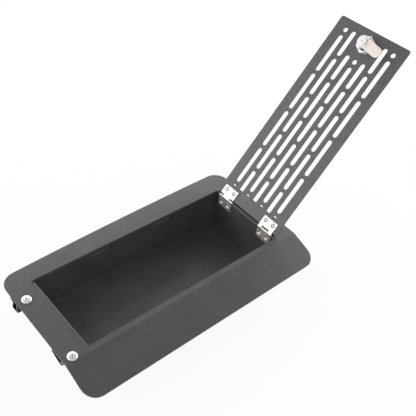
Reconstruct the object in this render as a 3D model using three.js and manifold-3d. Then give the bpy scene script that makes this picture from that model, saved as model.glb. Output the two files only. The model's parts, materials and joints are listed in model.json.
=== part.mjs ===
// A dashboard lockbox: a sheet steel box hangs under a face plate that covers the hole in the
// dashboard, and a slotted lid on two small hinges closes it with a cam lock.
// Millimetres. +X runs from the lock end to the hinge end, +Y away from the bent skirt, +Z up.
// The origin is the middle of the underside of the box, and the lid stands open.
import * as THREE from "three";
import { mergeVertices } from "three/addons/utils/BufferGeometryUtils.js";
import Module from "manifold-3d";

const wasm = await Module();
wasm.setup();

// Sheet and box
const SHEET = 1.5;
const BOX_HEIGHT = 60; // underside of the box to the top of the face plate
const BEND_INSIDE = 1; // inside radius of the folds of the box
const SIDE_LIP = 5.5; // outward lips of the long walls, from the middle of the wall
const END_LIP = 9; // outward lips of the end walls, from the middle of the wall
const END_LIP_PAST = 5; // its ends run past the line of the long walls
const WALL_SLOT_LENGTH = 32;
const WALL_SLOT_HEIGHT = 6.5;
const WALL_SLOT_FROM_TOP = 5.5; // top of the slot below the top of the face plate
const WALL_SLOT_X = 50; // centres, either side of the middle
const LOUVRE_REACH = 5.5; // out from the middle of the wall to the middle of its sheet
const LOUVRE_BELOW_SLOT = 2; // where its slope leaves the wall
const LOUVRE_UPRIGHT = 3.5; // down from the level of the slot's top to its slope

// Face plate
const OPENING_LENGTH = 302.5;
const OPENING_WIDTH = 118;
const OPENING_CORNER = 5;
const RIM_AT_LOCK = 29.2; // from the opening to the outer edge
const RIM_AT_HINGES = 27.8;
const FAR_RIM_LOCK_END = 24.64; // at the ends of the opening: the far rim is a slight bow
const FAR_RIM_MIDDLE = 30.1;
const FAR_RIM_HINGE_END = 32.2;
const FAR_RIM_STATIONS = 7; // corners of the bow between its ends
const NEAR_RIM = 7.9; // flat part between the opening and the bend of the skirt
const SKIRT = 47.6; // along its slope
const SKIRT_ANGLE = 18.2; // degrees below level
const SKIRT_BEND_INSIDE = 5;
const FAR_CORNER = 20;
const SKIRT_CORNER = 18;

// Lid
const LID_END_GAP = 1.2; // free edge to the opening
const LID_SIDE_GAP = 1.1;
const LID_CORNER = 3;
const LID_OPEN = 130.6; // degrees, where the corner of the lid comes down on the face plate
const SLOT_WIDTH = 6.8;
const SLOT_COLUMN = 13.5; // middle of one column to the next, across the lid
const SLOT_BRIDGE = 5.32; // sheet left between two slots of a column
const SHORT_SLOT_LENGTH = 38.48;
const PATTERN_FROM_FREE_EDGE = 11.78;
const PATTERN_FROM_HINGE_EDGE = 14.88;

// Hinges
const PIN_TO_OPENING = 2; // from the edge of the opening
const PIN_BELOW_TOP = 1;
const PIN_TO_LID_EDGE = 2.2;
const KNUCKLE_RADIUS = 1.7;
const PIN_RADIUS = 0.7;
const PIN_RUNNING = 0.05; // between a pin and its knuckle, on the radius
const PIN_HEAD_RADIUS = 1.3;
const PIN_HEAD = 0.4;
const LEAF_WIDTH = 25;
const LEAF_REACH = 17.3; // from the pin
const LEAF_CORNER = 1.5;
const CENTRE_KNUCKLE = 12;
const KNUCKLE_GAP = 0.3;
const KNUCKLE_NOTCH = 3.6; // from the pin to the leaf, where the other leaf has its knuckle
const LEAF_HOLE_FROM_PIN = 11.9;
const LEAF_HOLE_SPACING = 13.8;
const LEAF_HOLE_RADIUS = 1.7;
const HINGE_FROM_LID_SIDE = 18.6; // middle of a hinge
const HINGE_RELIEF = 26.8; // width of the notch in the end wall
const HINGE_RELIEF_DEPTH = 3.1; // below the top of the face plate

// Lid rivets
const RIVET_RADIUS = 1.6;
const RIVET_HEAD_RADIUS = 2.6;
const RIVET_HEAD = 0.9;
const RIVET_ROUND = 16; // flats round it

// Screws and nuts of the hinges
const SCREW_RADIUS = 1.45;
const SCREW_HEAD_RADIUS = 2.9;
const SCREW_HEAD = 2.3;
const SCREW_LENGTH = 7;
const SCREW_CROSS_REACH = 1.7;
const SCREW_CROSS_WIDTH = 0.7;
const SCREW_CROSS_DEPTH = 1.2;
const WALL_NUT_FLATS = 5.5;
const WALL_NUT = 2.4;

// Lock, with its levels counted from the inner face of the lid into the box
const LOCK_FROM_FREE_EDGE = 20.7;
const LOCK_FLANGE_RADIUS = 11;
const LOCK_FLANGE = 1.8;
const LOCK_BARREL_RADIUS = 8.6;
const LOCK_BARREL_END = 11.8;
const LOCK_EDGE = 0.5; // broken edges of the barrel and flange
const LOCK_HOLE_PLAY = 0.15;
const LOCK_WASHER_RADIUS = 12.1;
const LOCK_WASHER = 0.5;
const LOCK_NUT_FLATS = 22.9;
const LOCK_NUT_END = 5;
const LOCK_NUT_CHAMFER = 0.9;
const LOCK_LEDGE = 5.5; // the wall stands this far inside the opening and carries the lid
const PLUG_RADIUS = 5.5;
const PLUG_RUNNING = 0.1;
const PLUG_FACE_RECESS = 0.3;
const DRIVE_SIDE = 7; // square end of the plug
const DRIVE_PLAY = 0.15;
const DRIVE_CORNER = 0.8;
const DRIVE_HOLE_CORNER = 0.6;
const DRIVE_END = 14.95;
const KEYWAY_WIDTH = 1.6;
const KEYWAY_HEIGHT = 6.5;
const KEYWAY_DEPTH = 8.4;
const STOP_DISC_RADIUS = 8.2;
const STOP_DISC_START = 11.9;
const STOP_DISC_END = 12.8;
const STOP_TAB_INSIDE = 6.4;
const STOP_TAB_START = 10.3;
const STOP_TAB_ANGLE = 30; // degrees
const STOP_TAB_PLAY = 0.3;
const STOP_TURN_PLAY = 2; // degrees
const CAM_TURN = 100; // degrees, between unlocked and locked
const CAM_START = 13;
const CAM_END = 15;
const CAM_BASE_RADIUS = 8.4;
const CAM_WIDTH = 14.4;
const CAM_REACH = 31.6;
const CAM_TIP_RADIUS = 6;
const CAM_SLOT_CLEAR = 1.5; // above and below the cam in the end wall
const CAM_SLOT_SIDE_CLEAR = 1.6;
const CAM_BOLT_FLATS = 10;
const CAM_BOLT_HEAD = 2.6;
const CAM_BOLT_CHAMFER = 0.7;
const CAM_BOLT_TURN = 12; // degrees, the way its head was left
const CAM_BOLT_RADIUS = 2.4;
const CAM_BOLT_LENGTH = 9;

// Clamps under the lock end of the face plate
const CLAMP_FROM_OPENING = 17.25;
const CLAMP_FAR_INSIDE = 22.4; // inside the line of the opening's far side
const CLAMP_NEAR_OUTSIDE = 1.5; // outside the line of its near side
const CLAMP_SCREW_RADIUS = 3;
const CLAMP_HEAD_RADIUS = 6;
const CLAMP_HEAD = 2.6;
const CLAMP_SCREW_LENGTH = 17.5; // under the head
const CLAMP_HOLE_RADIUS = 3.3;
const CLIP_SHEET = 1.2;
const CLIP_WIDTH = 22;
const CLIP_FROM_EDGE = 0.2; // inside the outer edge of the face plate
const CLAMP_CROSS_REACH = 2.6;
const CLAMP_CROSS_WIDTH = 1.1;
const CLAMP_CROSS_DEPTH = 1.5;

// Bends of the near clip: along Y from its screw, and down from the underside of the plate
const NEAR_CLIP_TIP = 21.9;
const NEAR_CLIP_TIP_DROP = 3.3;
const NEAR_CLIP_FOLD = 4.3;
const NEAR_CLIP_FOLD_DROP = 7.3;
const NEAR_CLIP_LEVEL = 7.8; // level part of the lower leg
const NEAR_CLIP_INSIDE = 2.4;

// Bends of the far clip
const FAR_CLIP_END = 10.2; // end of the top leg
const FAR_CLIP_FOLD = 16.8;
const FAR_CLIP_FOLD_DROP = 3.3;
const FAR_CLIP_NECK = 10.4;
const FAR_CLIP_NECK_DROP = 3.5;
const FAR_CLIP_HEEL = 11.7;
const FAR_CLIP_HEEL_DROP = 12.1;
const FAR_CLIP_TOE = 1.4;
const FAR_CLIP_TOE_DROP = 13.5;
const FAR_CLIP_TIP = 9;
const FAR_CLIP_TIP_DROP = 4.3;
const FAR_CLIP_INSIDE = 0.6;

// Clearances between pieces
const SEAT = 0.05;
const SIDE_PLAY = 0.1;

const FAN = 6; // flats per quarter of a round corner
const ROUND = 24; // flats round a small cylinder
const BARREL_ROUND = 36;
const SECTOR_STEPS = 12;
const PAST = 1; // how far a cut runs past the face it leaves
const CHAMFER_INSET = 0.15; // from the flats of a hexagon to its chamfer

// Derived places
const HALF = SHEET / 2;
const PLATE_TOP = BOX_HEIGHT;
const PLATE_UNDER = BOX_HEIGHT - SHEET;
const OPENING_X = OPENING_LENGTH / 2;
const OPENING_Y = OPENING_WIDTH / 2;
const LIP_TOP = PLATE_UNDER - SEAT;
const CLAMP_X = -OPENING_X - CLAMP_FROM_OPENING;
const CLAMP_FAR_Y = OPENING_Y - CLAMP_FAR_INSIDE;
const CLAMP_NEAR_Y = -OPENING_Y - CLAMP_NEAR_OUTSIDE;
const PIN_X = OPENING_X - PIN_TO_OPENING;
const PIN_Z = PLATE_TOP - PIN_BELOW_TOP;
const INNER_FACE = PLATE_UNDER - PIN_Z; // inner face of the closed lid, from the pin
const OUTER_FACE = PLATE_TOP - PIN_Z;
const LEAF_BACK = INNER_FACE - SEAT;
const HINGE_WALL_X = PIN_X + INNER_FACE; // inner face of the wall behind the hinges
const LID_LENGTH = OPENING_LENGTH - PIN_TO_OPENING - PIN_TO_LID_EDGE - LID_END_GAP;
const LID_WIDTH = OPENING_WIDTH - 2 * LID_SIDE_GAP;
const PATTERN_LENGTH = LID_LENGTH - PATTERN_FROM_FREE_EDGE - PATTERN_FROM_HINGE_EDGE;
const SLOT_PITCH = (PATTERN_LENGTH - SLOT_BRIDGE - 2 * SHORT_SLOT_LENGTH) / 3;
const PATTERN_FROM_PIN = PIN_TO_LID_EDGE + PATTERN_FROM_HINGE_EDGE + PATTERN_LENGTH / 2;
const HINGE_Y = LID_WIDTH / 2 - HINGE_FROM_LID_SIDE; // either side of the middle
const LID_FREE_X = -PIN_TO_LID_EDGE - LID_LENGTH; // free edge of the closed lid, from the pin
const LOCK_X = LID_FREE_X + LOCK_FROM_FREE_EDGE;
const LOCK_WALL_X = -OPENING_X + LOCK_LEDGE;

const radians = THREE.MathUtils.degToRad;

// The surface as a closed body for joining and cutting.
function solidFrom(geometry) {
  const bare = geometry.clone();
  bare.deleteAttribute("normal");
  bare.deleteAttribute("uv");
  const joined = mergeVertices(bare, 1e-4);
  const mesh = new wasm.Mesh({
    numProp: 3,
    vertProperties: joined.attributes.position.array,
    triVerts: new Uint32Array(joined.index.array),
  });
  return new wasm.Manifold(mesh);
}

function geometryFrom(solid) {
  const mesh = solid.getMesh();
  const geometry = new THREE.BufferGeometry();
  const places = new Float32Array(mesh.vertProperties);
  geometry.setAttribute("position", new THREE.BufferAttribute(places, 3));
  geometry.setIndex(new THREE.BufferAttribute(new Uint32Array(mesh.triVerts), 1));
  return geometry;
}

function shapeFrom(points) {
  return new THREE.Shape(points.map(([u, v]) => new THREE.Vector2(u, v)));
}

function raise(shape, from, to) {
  const settings = { depth: to - from, bevelEnabled: false, curveSegments: FAN };
  return new THREE.ExtrudeGeometry(shape, settings).translate(0, 0, from);
}

// Outline in X and Y, raised from one height to another.
function alongZ(points, from, to) {
  return solidFrom(raise(shapeFrom(points), from, to));
}

// Outline in Y and Z, run along X.
function alongX(points, from, to) {
  const axes = new THREE.Matrix4().makeBasis(
    new THREE.Vector3(0, 1, 0),
    new THREE.Vector3(0, 0, 1),
    new THREE.Vector3(1, 0, 0),
  );
  return solidFrom(raise(shapeFrom(points), from, to).applyMatrix4(axes));
}

// Outline in X and Z, run along Y.
function alongY(points, from, to) {
  const axes = new THREE.Matrix4().makeBasis(
    new THREE.Vector3(0, 0, 1),
    new THREE.Vector3(1, 0, 0),
    new THREE.Vector3(0, 1, 0),
  );
  const turned = points.map(([x, z]) => [z, x]);
  return solidFrom(raise(shapeFrom(turned), from, to).applyMatrix4(axes));
}

function rectangle(u0, v0, u1, v1) {
  return [
    [u0, v0],
    [u1, v0],
    [u1, v1],
    [u0, v1],
  ];
}

function circle(u, v, radius, flats = ROUND) {
  const points = [];
  for (let i = 0; i < flats; i += 1) {
    const turn = (2 * Math.PI * i) / flats;
    points.push([u + radius * Math.cos(turn), v + radius * Math.sin(turn)]);
  }
  return points;
}

function hexagon(u, v, flats, firstCorner = 0) {
  const reach = flats / Math.sqrt(3);
  return Array.from({ length: 6 }, (_, i) => {
    const turn = firstCorner + (i * Math.PI) / 3;
    return [u + reach * Math.cos(turn), v + reach * Math.sin(turn)];
  });
}

// Corners [u, v, radius] joined by straight edges, each corner rounded to its radius.
function rounded(corners, fan = FAN) {
  const points = [];
  corners.forEach(([u, v, radius], i) => {
    const here = new THREE.Vector2(u, v);
    const [pu, pv] = corners[(i + corners.length - 1) % corners.length];
    const [nu, nv] = corners[(i + 1) % corners.length];
    const back = new THREE.Vector2(pu, pv).sub(here).normalize();
    const on = new THREE.Vector2(nu, nv).sub(here).normalize();
    if (!radius) {
      points.push([u, v]);
      return;
    }
    const half = Math.acos(THREE.MathUtils.clamp(back.dot(on), -1, 1)) / 2;
    const middle = back.clone().add(on).normalize();
    const centre = here.clone().addScaledVector(middle, radius / Math.sin(half));
    const start = here.clone().addScaledVector(back, radius / Math.tan(half));
    const sweep = Math.PI - 2 * half;
    const side = Math.sign(back.y * on.x - back.x * on.y);
    for (let k = 0; k <= fan; k += 1) {
      const spoke = start.clone().sub(centre);
      spoke.rotateAround(new THREE.Vector2(), (side * sweep * k) / fan);
      points.push([centre.x + spoke.x, centre.y + spoke.y]);
    }
  });
  return points;
}

// A bent strip: the middle line's corners are rounded, then set off to both sides.
function strip(line, thickness, inside, fan = FAN) {
  const left = [];
  const right = [];
  const corners = line.map(([u, v]) => new THREE.Vector2(u, v));
  corners.forEach((here, i) => {
    const ahead = corners[i + 1]?.clone().sub(here).normalize();
    const before = corners[i - 1] && here.clone().sub(corners[i - 1]).normalize();
    const put = (place, direction) => {
      const across = new THREE.Vector2(-direction.y, direction.x).multiplyScalar(thickness / 2);
      left.push([place.x + across.x, place.y + across.y]);
      right.push([place.x - across.x, place.y - across.y]);
    };
    if (!ahead || !before) {
      put(here, ahead ?? before);
      return;
    }
    const turn = Math.atan2(before.x * ahead.y - before.y * ahead.x, before.dot(ahead));
    const radius = inside + thickness / 2;
    const start = here.clone().addScaledVector(before, -radius * Math.tan(Math.abs(turn) / 2));
    const left90 = new THREE.Vector2(-before.y, before.x);
    const inward = left90.multiplyScalar(Math.sign(turn) * radius);
    const centre = start.clone().add(inward);
    for (let k = 0; k <= fan; k += 1) {
      const part = (turn * k) / fan;
      const spoke = start.clone().sub(centre).rotateAround(new THREE.Vector2(), part);
      const direction = before.clone().rotateAround(new THREE.Vector2(), part);
      put(centre.clone().add(spoke), direction);
    }
  });
  return [...left, ...right.reverse()];
}

// A turned body: [radius, height] from the axis and back to it, standing on Z.
function turned(profile, flats = ROUND) {
  const points = profile.map(([radius, height]) => new THREE.Vector2(radius, height));
  return solidFrom(new THREE.LatheGeometry(points, flats).rotateX(Math.PI / 2));
}

function moved(solid, x, y, z) {
  return solid.translate([x, y, z]);
}

function farEdge(x) {
  const slope = (FAR_RIM_HINGE_END - FAR_RIM_LOCK_END) / OPENING_LENGTH;
  const ends = (FAR_RIM_HINGE_END + FAR_RIM_LOCK_END) / 2;
  const bow = (ends - FAR_RIM_MIDDLE) / OPENING_X ** 2;
  return OPENING_Y + FAR_RIM_MIDDLE + slope * x + bow * x * x;
}

function facePlate() {
  const bendY = -OPENING_Y - NEAR_RIM;
  const slope = radians(SKIRT_ANGLE);
  const middle = PLATE_TOP - HALF;
  const bendMiddle = bendY + HALF * Math.tan(slope / 2);
  const beyond = 10; // the strip is made longer and wider than the plate, then cut to its outline
  const line = [
    [OPENING_Y + FAR_RIM_HINGE_END + beyond, middle],
    [bendMiddle, middle],
    [
      bendMiddle - (SKIRT + beyond) * Math.cos(slope),
      middle - (SKIRT + beyond) * Math.sin(slope),
    ],
  ];
  const lockX = -OPENING_X - RIM_AT_LOCK;
  const hingeX = OPENING_X + RIM_AT_HINGES;
  const sheet = alongX(strip(line, SHEET, SKIRT_BEND_INSIDE), lockX - beyond, hingeX + beyond);
  const nearY = bendY - SKIRT * Math.cos(slope);
  const bowPoints = [];
  for (let i = 1; i <= FAR_RIM_STATIONS; i += 1) {
    const x = OPENING_X - (OPENING_LENGTH * i) / (FAR_RIM_STATIONS + 1);
    bowPoints.push([x, farEdge(x), 0]);
  }
  const outline = rounded([
    [lockX, nearY, SKIRT_CORNER],
    [hingeX, nearY, SKIRT_CORNER],
    [hingeX, farEdge(hingeX), FAR_CORNER],
    ...bowPoints,
    [lockX, farEdge(lockX), FAR_CORNER],
  ]);
  const opening = rounded([
    [-OPENING_X, -OPENING_Y, OPENING_CORNER],
    [OPENING_X, -OPENING_Y, OPENING_CORNER],
    [OPENING_X, OPENING_Y, OPENING_CORNER],
    [-OPENING_X, OPENING_Y, OPENING_CORNER],
  ]);
  let plate = sheet.intersect(alongZ(outline, 0, PLATE_TOP + beyond));
  plate = plate.subtract(alongZ(opening, 0, PLATE_TOP + beyond));
  for (const y of [CLAMP_FAR_Y, CLAMP_NEAR_Y]) {
    const hole = circle(CLAMP_X, y, CLAMP_HOLE_RADIUS);
    plate = plate.subtract(alongZ(hole, 0, PLATE_TOP + beyond));
  }
  return plate;
}

// Behind each slot of the long walls a louvre is pressed outwards. It is closed below and at
// its ends, and open at its top.
function louvre(x) {
  const wallY = OPENING_Y + HALF;
  const top = PLATE_TOP - WALL_SLOT_FROM_TOP;
  const bottom = top - WALL_SLOT_HEIGHT - LOUVRE_BELOW_SLOT;
  const line = [
    [wallY, bottom],
    [wallY + LOUVRE_REACH, top - LOUVRE_UPRIGHT],
    [wallY + LOUVRE_REACH, top],
  ];
  const outline = strip(line, SHEET, BEND_INSIDE);
  const outside = outline.slice(outline.length / 2);
  const end = [...outside, [wallY, bottom], [wallY, top]];
  const inner = WALL_SLOT_LENGTH / 2;
  const outer = inner + SHEET;
  let pressed = alongX(outline, x - outer, x + outer);
  pressed = pressed.add(alongX(end, x - outer, x - inner));
  return pressed.add(alongX(end, x + inner, x + outer));
}

// The floor and the two long walls are one folded sheet with lips turned outwards.
function trayChannel() {
  const wallY = OPENING_Y + HALF;
  const lipZ = LIP_TOP - HALF;
  const line = [
    [-wallY - SIDE_LIP, lipZ],
    [-wallY, lipZ],
    [-wallY, HALF],
    [wallY, HALF],
    [wallY, lipZ],
    [wallY + SIDE_LIP, lipZ],
  ];
  const lockEnd = LOCK_WALL_X - SHEET;
  const hingeEnd = HINGE_WALL_X + SHEET;
  let channel = alongX(strip(line, SHEET, BEND_INSIDE), lockEnd, hingeEnd);
  const top = PLATE_TOP - WALL_SLOT_FROM_TOP;
  for (const x of [-WALL_SLOT_X, WALL_SLOT_X]) {
    const half = WALL_SLOT_LENGTH / 2;
    const slot = rectangle(x - half, top - WALL_SLOT_HEIGHT, x + half, top);
    channel = channel.subtract(alongY(slot, -wallY - SHEET, wallY + SHEET));
    channel = channel.add(louvre(x)).add(louvre(x).mirror([0, 1, 0]));
  }
  return channel;
}

// An end wall stands on the floor, and its top is turned outwards under the face plate.
function endWall(innerX, outwards) {
  const webX = innerX + outwards * HALF;
  const lipZ = LIP_TOP - HALF;
  const lipEnd = webX + outwards * END_LIP;
  const line = [
    [webX, SHEET + SEAT],
    [webX, lipZ],
    [lipEnd, lipZ],
  ];
  const width = OPENING_Y - SIDE_PLAY;
  const corner = BEND_INSIDE + SIDE_PLAY; // clears the folds of the channel
  const face = rounded([
    [-width, SHEET + SEAT, corner],
    [width, SHEET + SEAT, corner],
    [width, PLATE_TOP, 0],
    [-width, PLATE_TOP, 0],
  ]);
  const reach = OPENING_X + RIM_AT_LOCK;
  const bent = alongY(strip(line, SHEET, BEND_INSIDE), -width, width);
  const web = bent.intersect(alongX(face, -reach, reach));
  const lipStart = innerX + outwards * (SHEET + BEND_INSIDE + SIDE_PLAY);
  const across = OPENING_Y + END_LIP_PAST;
  const from = Math.min(lipStart, lipEnd);
  const to = Math.max(lipStart, lipEnd);
  const lip = alongZ(rectangle(from, -across, to, across), LIP_TOP - SHEET, LIP_TOP);
  return web.add(lip);
}

function endWallLock() {
  const camTop = PLATE_UNDER - CAM_START;
  const camBottom = PLATE_UNDER - CAM_END;
  const wallFromLock = PIN_X + LOCK_X - LOCK_WALL_X;
  const sweep = Math.sqrt(CAM_REACH ** 2 - wallFromLock ** 2);
  const slot = rectangle(
    -sweep - CAM_SLOT_SIDE_CLEAR,
    camBottom - CAM_SLOT_CLEAR,
    CAM_WIDTH / 2 + CAM_SLOT_SIDE_CLEAR,
    camTop + CAM_SLOT_CLEAR,
  );
  const cut = alongX(slot, LOCK_WALL_X - 2 * SHEET, LOCK_WALL_X + SHEET);
  return endWall(LOCK_WALL_X, -1).subtract(cut);
}

function endWallHinge() {
  let wall = endWall(HINGE_WALL_X, 1);
  const notchZ = PLATE_TOP - HINGE_RELIEF_DEPTH;
  for (const y of [-HINGE_Y, HINGE_Y]) {
    const half = HINGE_RELIEF / 2;
    const notch = rectangle(HINGE_WALL_X - SHEET, y - half, OPENING_X + SEAT, y + half);
    wall = wall.subtract(alongZ(notch, notchZ, PLATE_TOP));
    for (const side of [-1, 1]) {
      const across = y + (side * LEAF_HOLE_SPACING) / 2;
      const hole = circle(across, PIN_Z - LEAF_HOLE_FROM_PIN, LEAF_HOLE_RADIUS);
      wall = wall.subtract(alongX(hole, HINGE_WALL_X - SHEET, HINGE_WALL_X + 2 * SHEET));
    }
  }
  return wall;
}

// Slots and holes of the lid as [from, to, across], lengths from the middle of the pattern
// towards the free edge. Short slots and round holes start where a long slot would.
function lidCutouts() {
  const cutouts = [];
  const add = (from, to, y) => cutouts.push([from, to, y]);
  const long = (pitches, y) => {
    const half = (SLOT_PITCH - SLOT_BRIDGE) / 2;
    add(pitches * SLOT_PITCH - half, pitches * SLOT_PITCH + half, y);
  };
  const towardsLock = (pitches, length, y) => {
    const start = pitches * SLOT_PITCH + SLOT_BRIDGE / 2;
    add(start, start + length, y);
  };
  const towardsHinges = (pitches, length, y) => {
    const start = pitches * SLOT_PITCH + SLOT_BRIDGE / 2;
    add(-start - length, -start, y);
  };
  for (const side of [-1, 1]) {
    const outer = side * 3 * SLOT_COLUMN;
    [-1.5, -0.5, 0.5, 1.5].forEach((at) => long(at, outer));
    towardsHinges(2, SLOT_WIDTH, outer);
    towardsLock(2, SLOT_WIDTH, outer);

    const inner = side * SLOT_COLUMN;
    [-1.5, -0.5, 0.5].forEach((at) => long(at, inner));
    towardsHinges(2, SLOT_WIDTH, inner);
    towardsLock(1, SHORT_SLOT_LENGTH, inner);
  }
  for (const column of [-2, 0, 2]) {
    const y = column * SLOT_COLUMN;
    [-1, 0, 1].forEach((at) => long(at, y));
    towardsHinges(1.5, SHORT_SLOT_LENGTH, y);
    if (column) {
      towardsLock(1.5, SHORT_SLOT_LENGTH, y);
    }
  }
  towardsLock(1.5, SLOT_WIDTH, 0); // the lock takes the place of a short slot
  return cutouts;
}

function slotPath(from, to, y) {
  const radius = SLOT_WIDTH / 2;
  const path = new THREE.Path();
  path.absarc(to - radius, y, radius, -Math.PI / 2, Math.PI / 2, false);
  path.absarc(from + radius, y, radius, Math.PI / 2, (3 * Math.PI) / 2, false);
  path.closePath();
  return path;
}

function circlePath(x, y, radius, flats = ROUND) {
  return new THREE.Path(circle(x, y, radius, flats).map(([u, v]) => new THREE.Vector2(u, v)));
}

function hingeHoles() {
  const places = [];
  for (const y of [-HINGE_Y, HINGE_Y]) {
    for (const side of [-1, 1]) {
      places.push([-LEAF_HOLE_FROM_PIN, y + (side * LEAF_HOLE_SPACING) / 2]);
    }
  }
  return places;
}

// From here on the pieces of the lid are made closed, measured from the hinge pin.
function lidPanel() {
  const half = LID_WIDTH / 2;
  const outline = rounded([
    [LID_FREE_X, -half, LID_CORNER],
    [-PIN_TO_LID_EDGE, -half, LID_CORNER],
    [-PIN_TO_LID_EDGE, half, LID_CORNER],
    [LID_FREE_X, half, LID_CORNER],
  ]);
  const shape = shapeFrom(outline);
  for (const [from, to, y] of lidCutouts()) {
    shape.holes.push(slotPath(-PATTERN_FROM_PIN - to, -PATTERN_FROM_PIN - from, y));
  }
  for (const [x, y] of hingeHoles()) {
    shape.holes.push(circlePath(x, y, LEAF_HOLE_RADIUS));
  }
  const barrelHole = LOCK_BARREL_RADIUS + LOCK_HOLE_PLAY;
  shape.holes.push(circlePath(LOCK_X, 0, barrelHole, BARREL_ROUND));
  return solidFrom(raise(shape, INNER_FACE, OUTER_FACE));
}

// A leaf lies along -X from the pin with its exposed face touching the knuckles from below.
function hingeLeaf(centreOwn) {
  const half = LEAF_WIDTH / 2;
  const plateOutline = rounded([
    [-LEAF_REACH, -half, LEAF_CORNER],
    [0, -half, 0],
    [0, half, 0],
    [-LEAF_REACH, half, LEAF_CORNER],
  ]);
  let leaf = alongZ(plateOutline, -KNUCKLE_RADIUS, LEAF_BACK);
  const inner = CENTRE_KNUCKLE / 2;
  const spans = centreOwn
    ? [[-inner, inner]]
    : [
        [-half, -inner - KNUCKLE_GAP],
        [inner + KNUCKLE_GAP, half],
      ];
  const gaps = centreOwn
    ? [
        [-half - PAST, -inner],
        [inner, half + PAST],
      ]
    : [[-inner - KNUCKLE_GAP, inner + KNUCKLE_GAP]];
  for (const [from, to] of gaps) {
    const notch = rectangle(-KNUCKLE_NOTCH, from, KNUCKLE_RADIUS, to);
    leaf = leaf.subtract(alongZ(notch, -KNUCKLE_RADIUS - PAST, LEAF_BACK + PAST));
  }
  for (const [from, to] of spans) {
    leaf = leaf.add(alongY(circle(0, 0, KNUCKLE_RADIUS), from, to));
  }
  const bore = circle(0, 0, PIN_RADIUS + PIN_RUNNING);
  leaf = leaf.subtract(alongY(bore, -half - PAST, half + PAST));
  for (const side of [-1, 1]) {
    const hole = circle(-LEAF_HOLE_FROM_PIN, (side * LEAF_HOLE_SPACING) / 2, LEAF_HOLE_RADIUS);
    leaf = leaf.subtract(alongZ(hole, -KNUCKLE_RADIUS - PAST, LEAF_BACK + PAST));
  }
  return leaf;
}

function hingePin() {
  const half = LEAF_WIDTH / 2;
  const inside = half + SEAT;
  const outside = inside + PIN_HEAD;
  const body = alongY(circle(0, 0, PIN_RADIUS), -outside, outside);
  const near = alongY(circle(0, 0, PIN_HEAD_RADIUS), -outside, -inside);
  const far = alongY(circle(0, 0, PIN_HEAD_RADIUS), inside, outside);
  return body.add(near).add(far);
}

// A low dome on a flat face, drawn from the axis out: [radius, height] pairs.
function dome(radius, height, base, up) {
  const points = [];
  for (let k = 0; k <= FAN; k += 1) {
    const turn = (k / FAN) * (Math.PI / 2);
    points.push([radius * Math.cos(turn), base + up * height * Math.sin(turn)]);
  }
  return points;
}

function lidRivet() {
  const under = -KNUCKLE_RADIUS - SEAT;
  const over = OUTER_FACE + SEAT;
  const lower = dome(RIVET_HEAD_RADIUS, RIVET_HEAD, under, -1).reverse();
  const upper = dome(RIVET_HEAD_RADIUS, RIVET_HEAD, over, 1);
  lower[0][0] = 0;
  upper[FAN][0] = 0;
  const shank = [
    [RIVET_RADIUS, under],
    [RIVET_RADIUS, over],
  ];
  return turned([...lower, ...shank, ...upper], RIVET_ROUND);
}

// A screw standing on Z with its bearing face at zero and a cross cut into its top. The lower
// part of the head is straight, and the end of the thread is tapered.
function crossHead(radius, height, shank, length, cross) {
  const straight = height * 0.45;
  const taper = shank * 0.4;
  const top = dome(radius, height - straight, straight, 1);
  top[FAN][0] = 0;
  const thread = [
    [0, -length],
    [shank - taper / 2, -length],
    [shank, taper - length],
    [shank, 0],
  ];
  let screw = turned([...thread, [radius, 0], ...top]);
  const half = cross.width / 2;
  for (const cut of [
    rectangle(-cross.reach, -half, cross.reach, half),
    rectangle(-half, -cross.reach, half, cross.reach),
  ]) {
    screw = screw.subtract(alongZ(cut, height - cross.depth, height + PAST));
  }
  return screw;
}

// The wall screws point along +X from the inner face of the box leaf.
function wallScrew(y) {
  const cross = {
    reach: SCREW_CROSS_REACH,
    width: SCREW_CROSS_WIDTH,
    depth: SCREW_CROSS_DEPTH,
  };
  const screw = crossHead(SCREW_HEAD_RADIUS, SCREW_HEAD, SCREW_RADIUS, SCREW_LENGTH, cross);
  const headX = PIN_X - KNUCKLE_RADIUS - SEAT;
  return moved(screw.rotate([0, -90, 0]), headX, y, PIN_Z - LEAF_HOLE_FROM_PIN);
}

function wallNut(y) {
  const z = PIN_Z - LEAF_HOLE_FROM_PIN;
  const start = HINGE_WALL_X + SHEET + SEAT;
  const nut = alongX(hexagon(y, z, WALL_NUT_FLATS), start, start + WALL_NUT);
  const hole = circle(y, z, SCREW_RADIUS + SIDE_PLAY);
  return nut.subtract(alongX(hole, start - PAST, start + WALL_NUT + PAST));
}

// Height of a level of the lock, counted from the inner face of the lid.
function level(depth) {
  return INNER_FACE - depth;
}

// Part of a ring between two radii and two heights, spread in degrees about its middle.
function ringSector(inside, outside, middle, spread, from, to) {
  const outer = [];
  const inner = [];
  for (let k = 0; k <= SECTOR_STEPS; k += 1) {
    const turn = radians(middle - spread / 2 + (spread * k) / SECTOR_STEPS);
    outer.push([outside * Math.cos(turn), outside * Math.sin(turn)]);
    inner.push([inside * Math.cos(turn), inside * Math.sin(turn)]);
  }
  return alongZ([...outer, ...inner.reverse()], from, to);
}

// A hexagon between two heights, chamfered at its lower end.
function chamferedHexagon(flats, chamfer, from, to, firstCorner = 0) {
  const reach = flats / Math.sqrt(3) + CHAMFER_INSET;
  const round = turned(
    [
      [0, from],
      [flats / 2 - CHAMFER_INSET, from],
      [reach, from + chamfer],
      [reach, to],
      [0, to],
    ],
    BARREL_ROUND,
  );
  return alongZ(hexagon(0, 0, flats, firstCorner), from, to).intersect(round);
}

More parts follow.
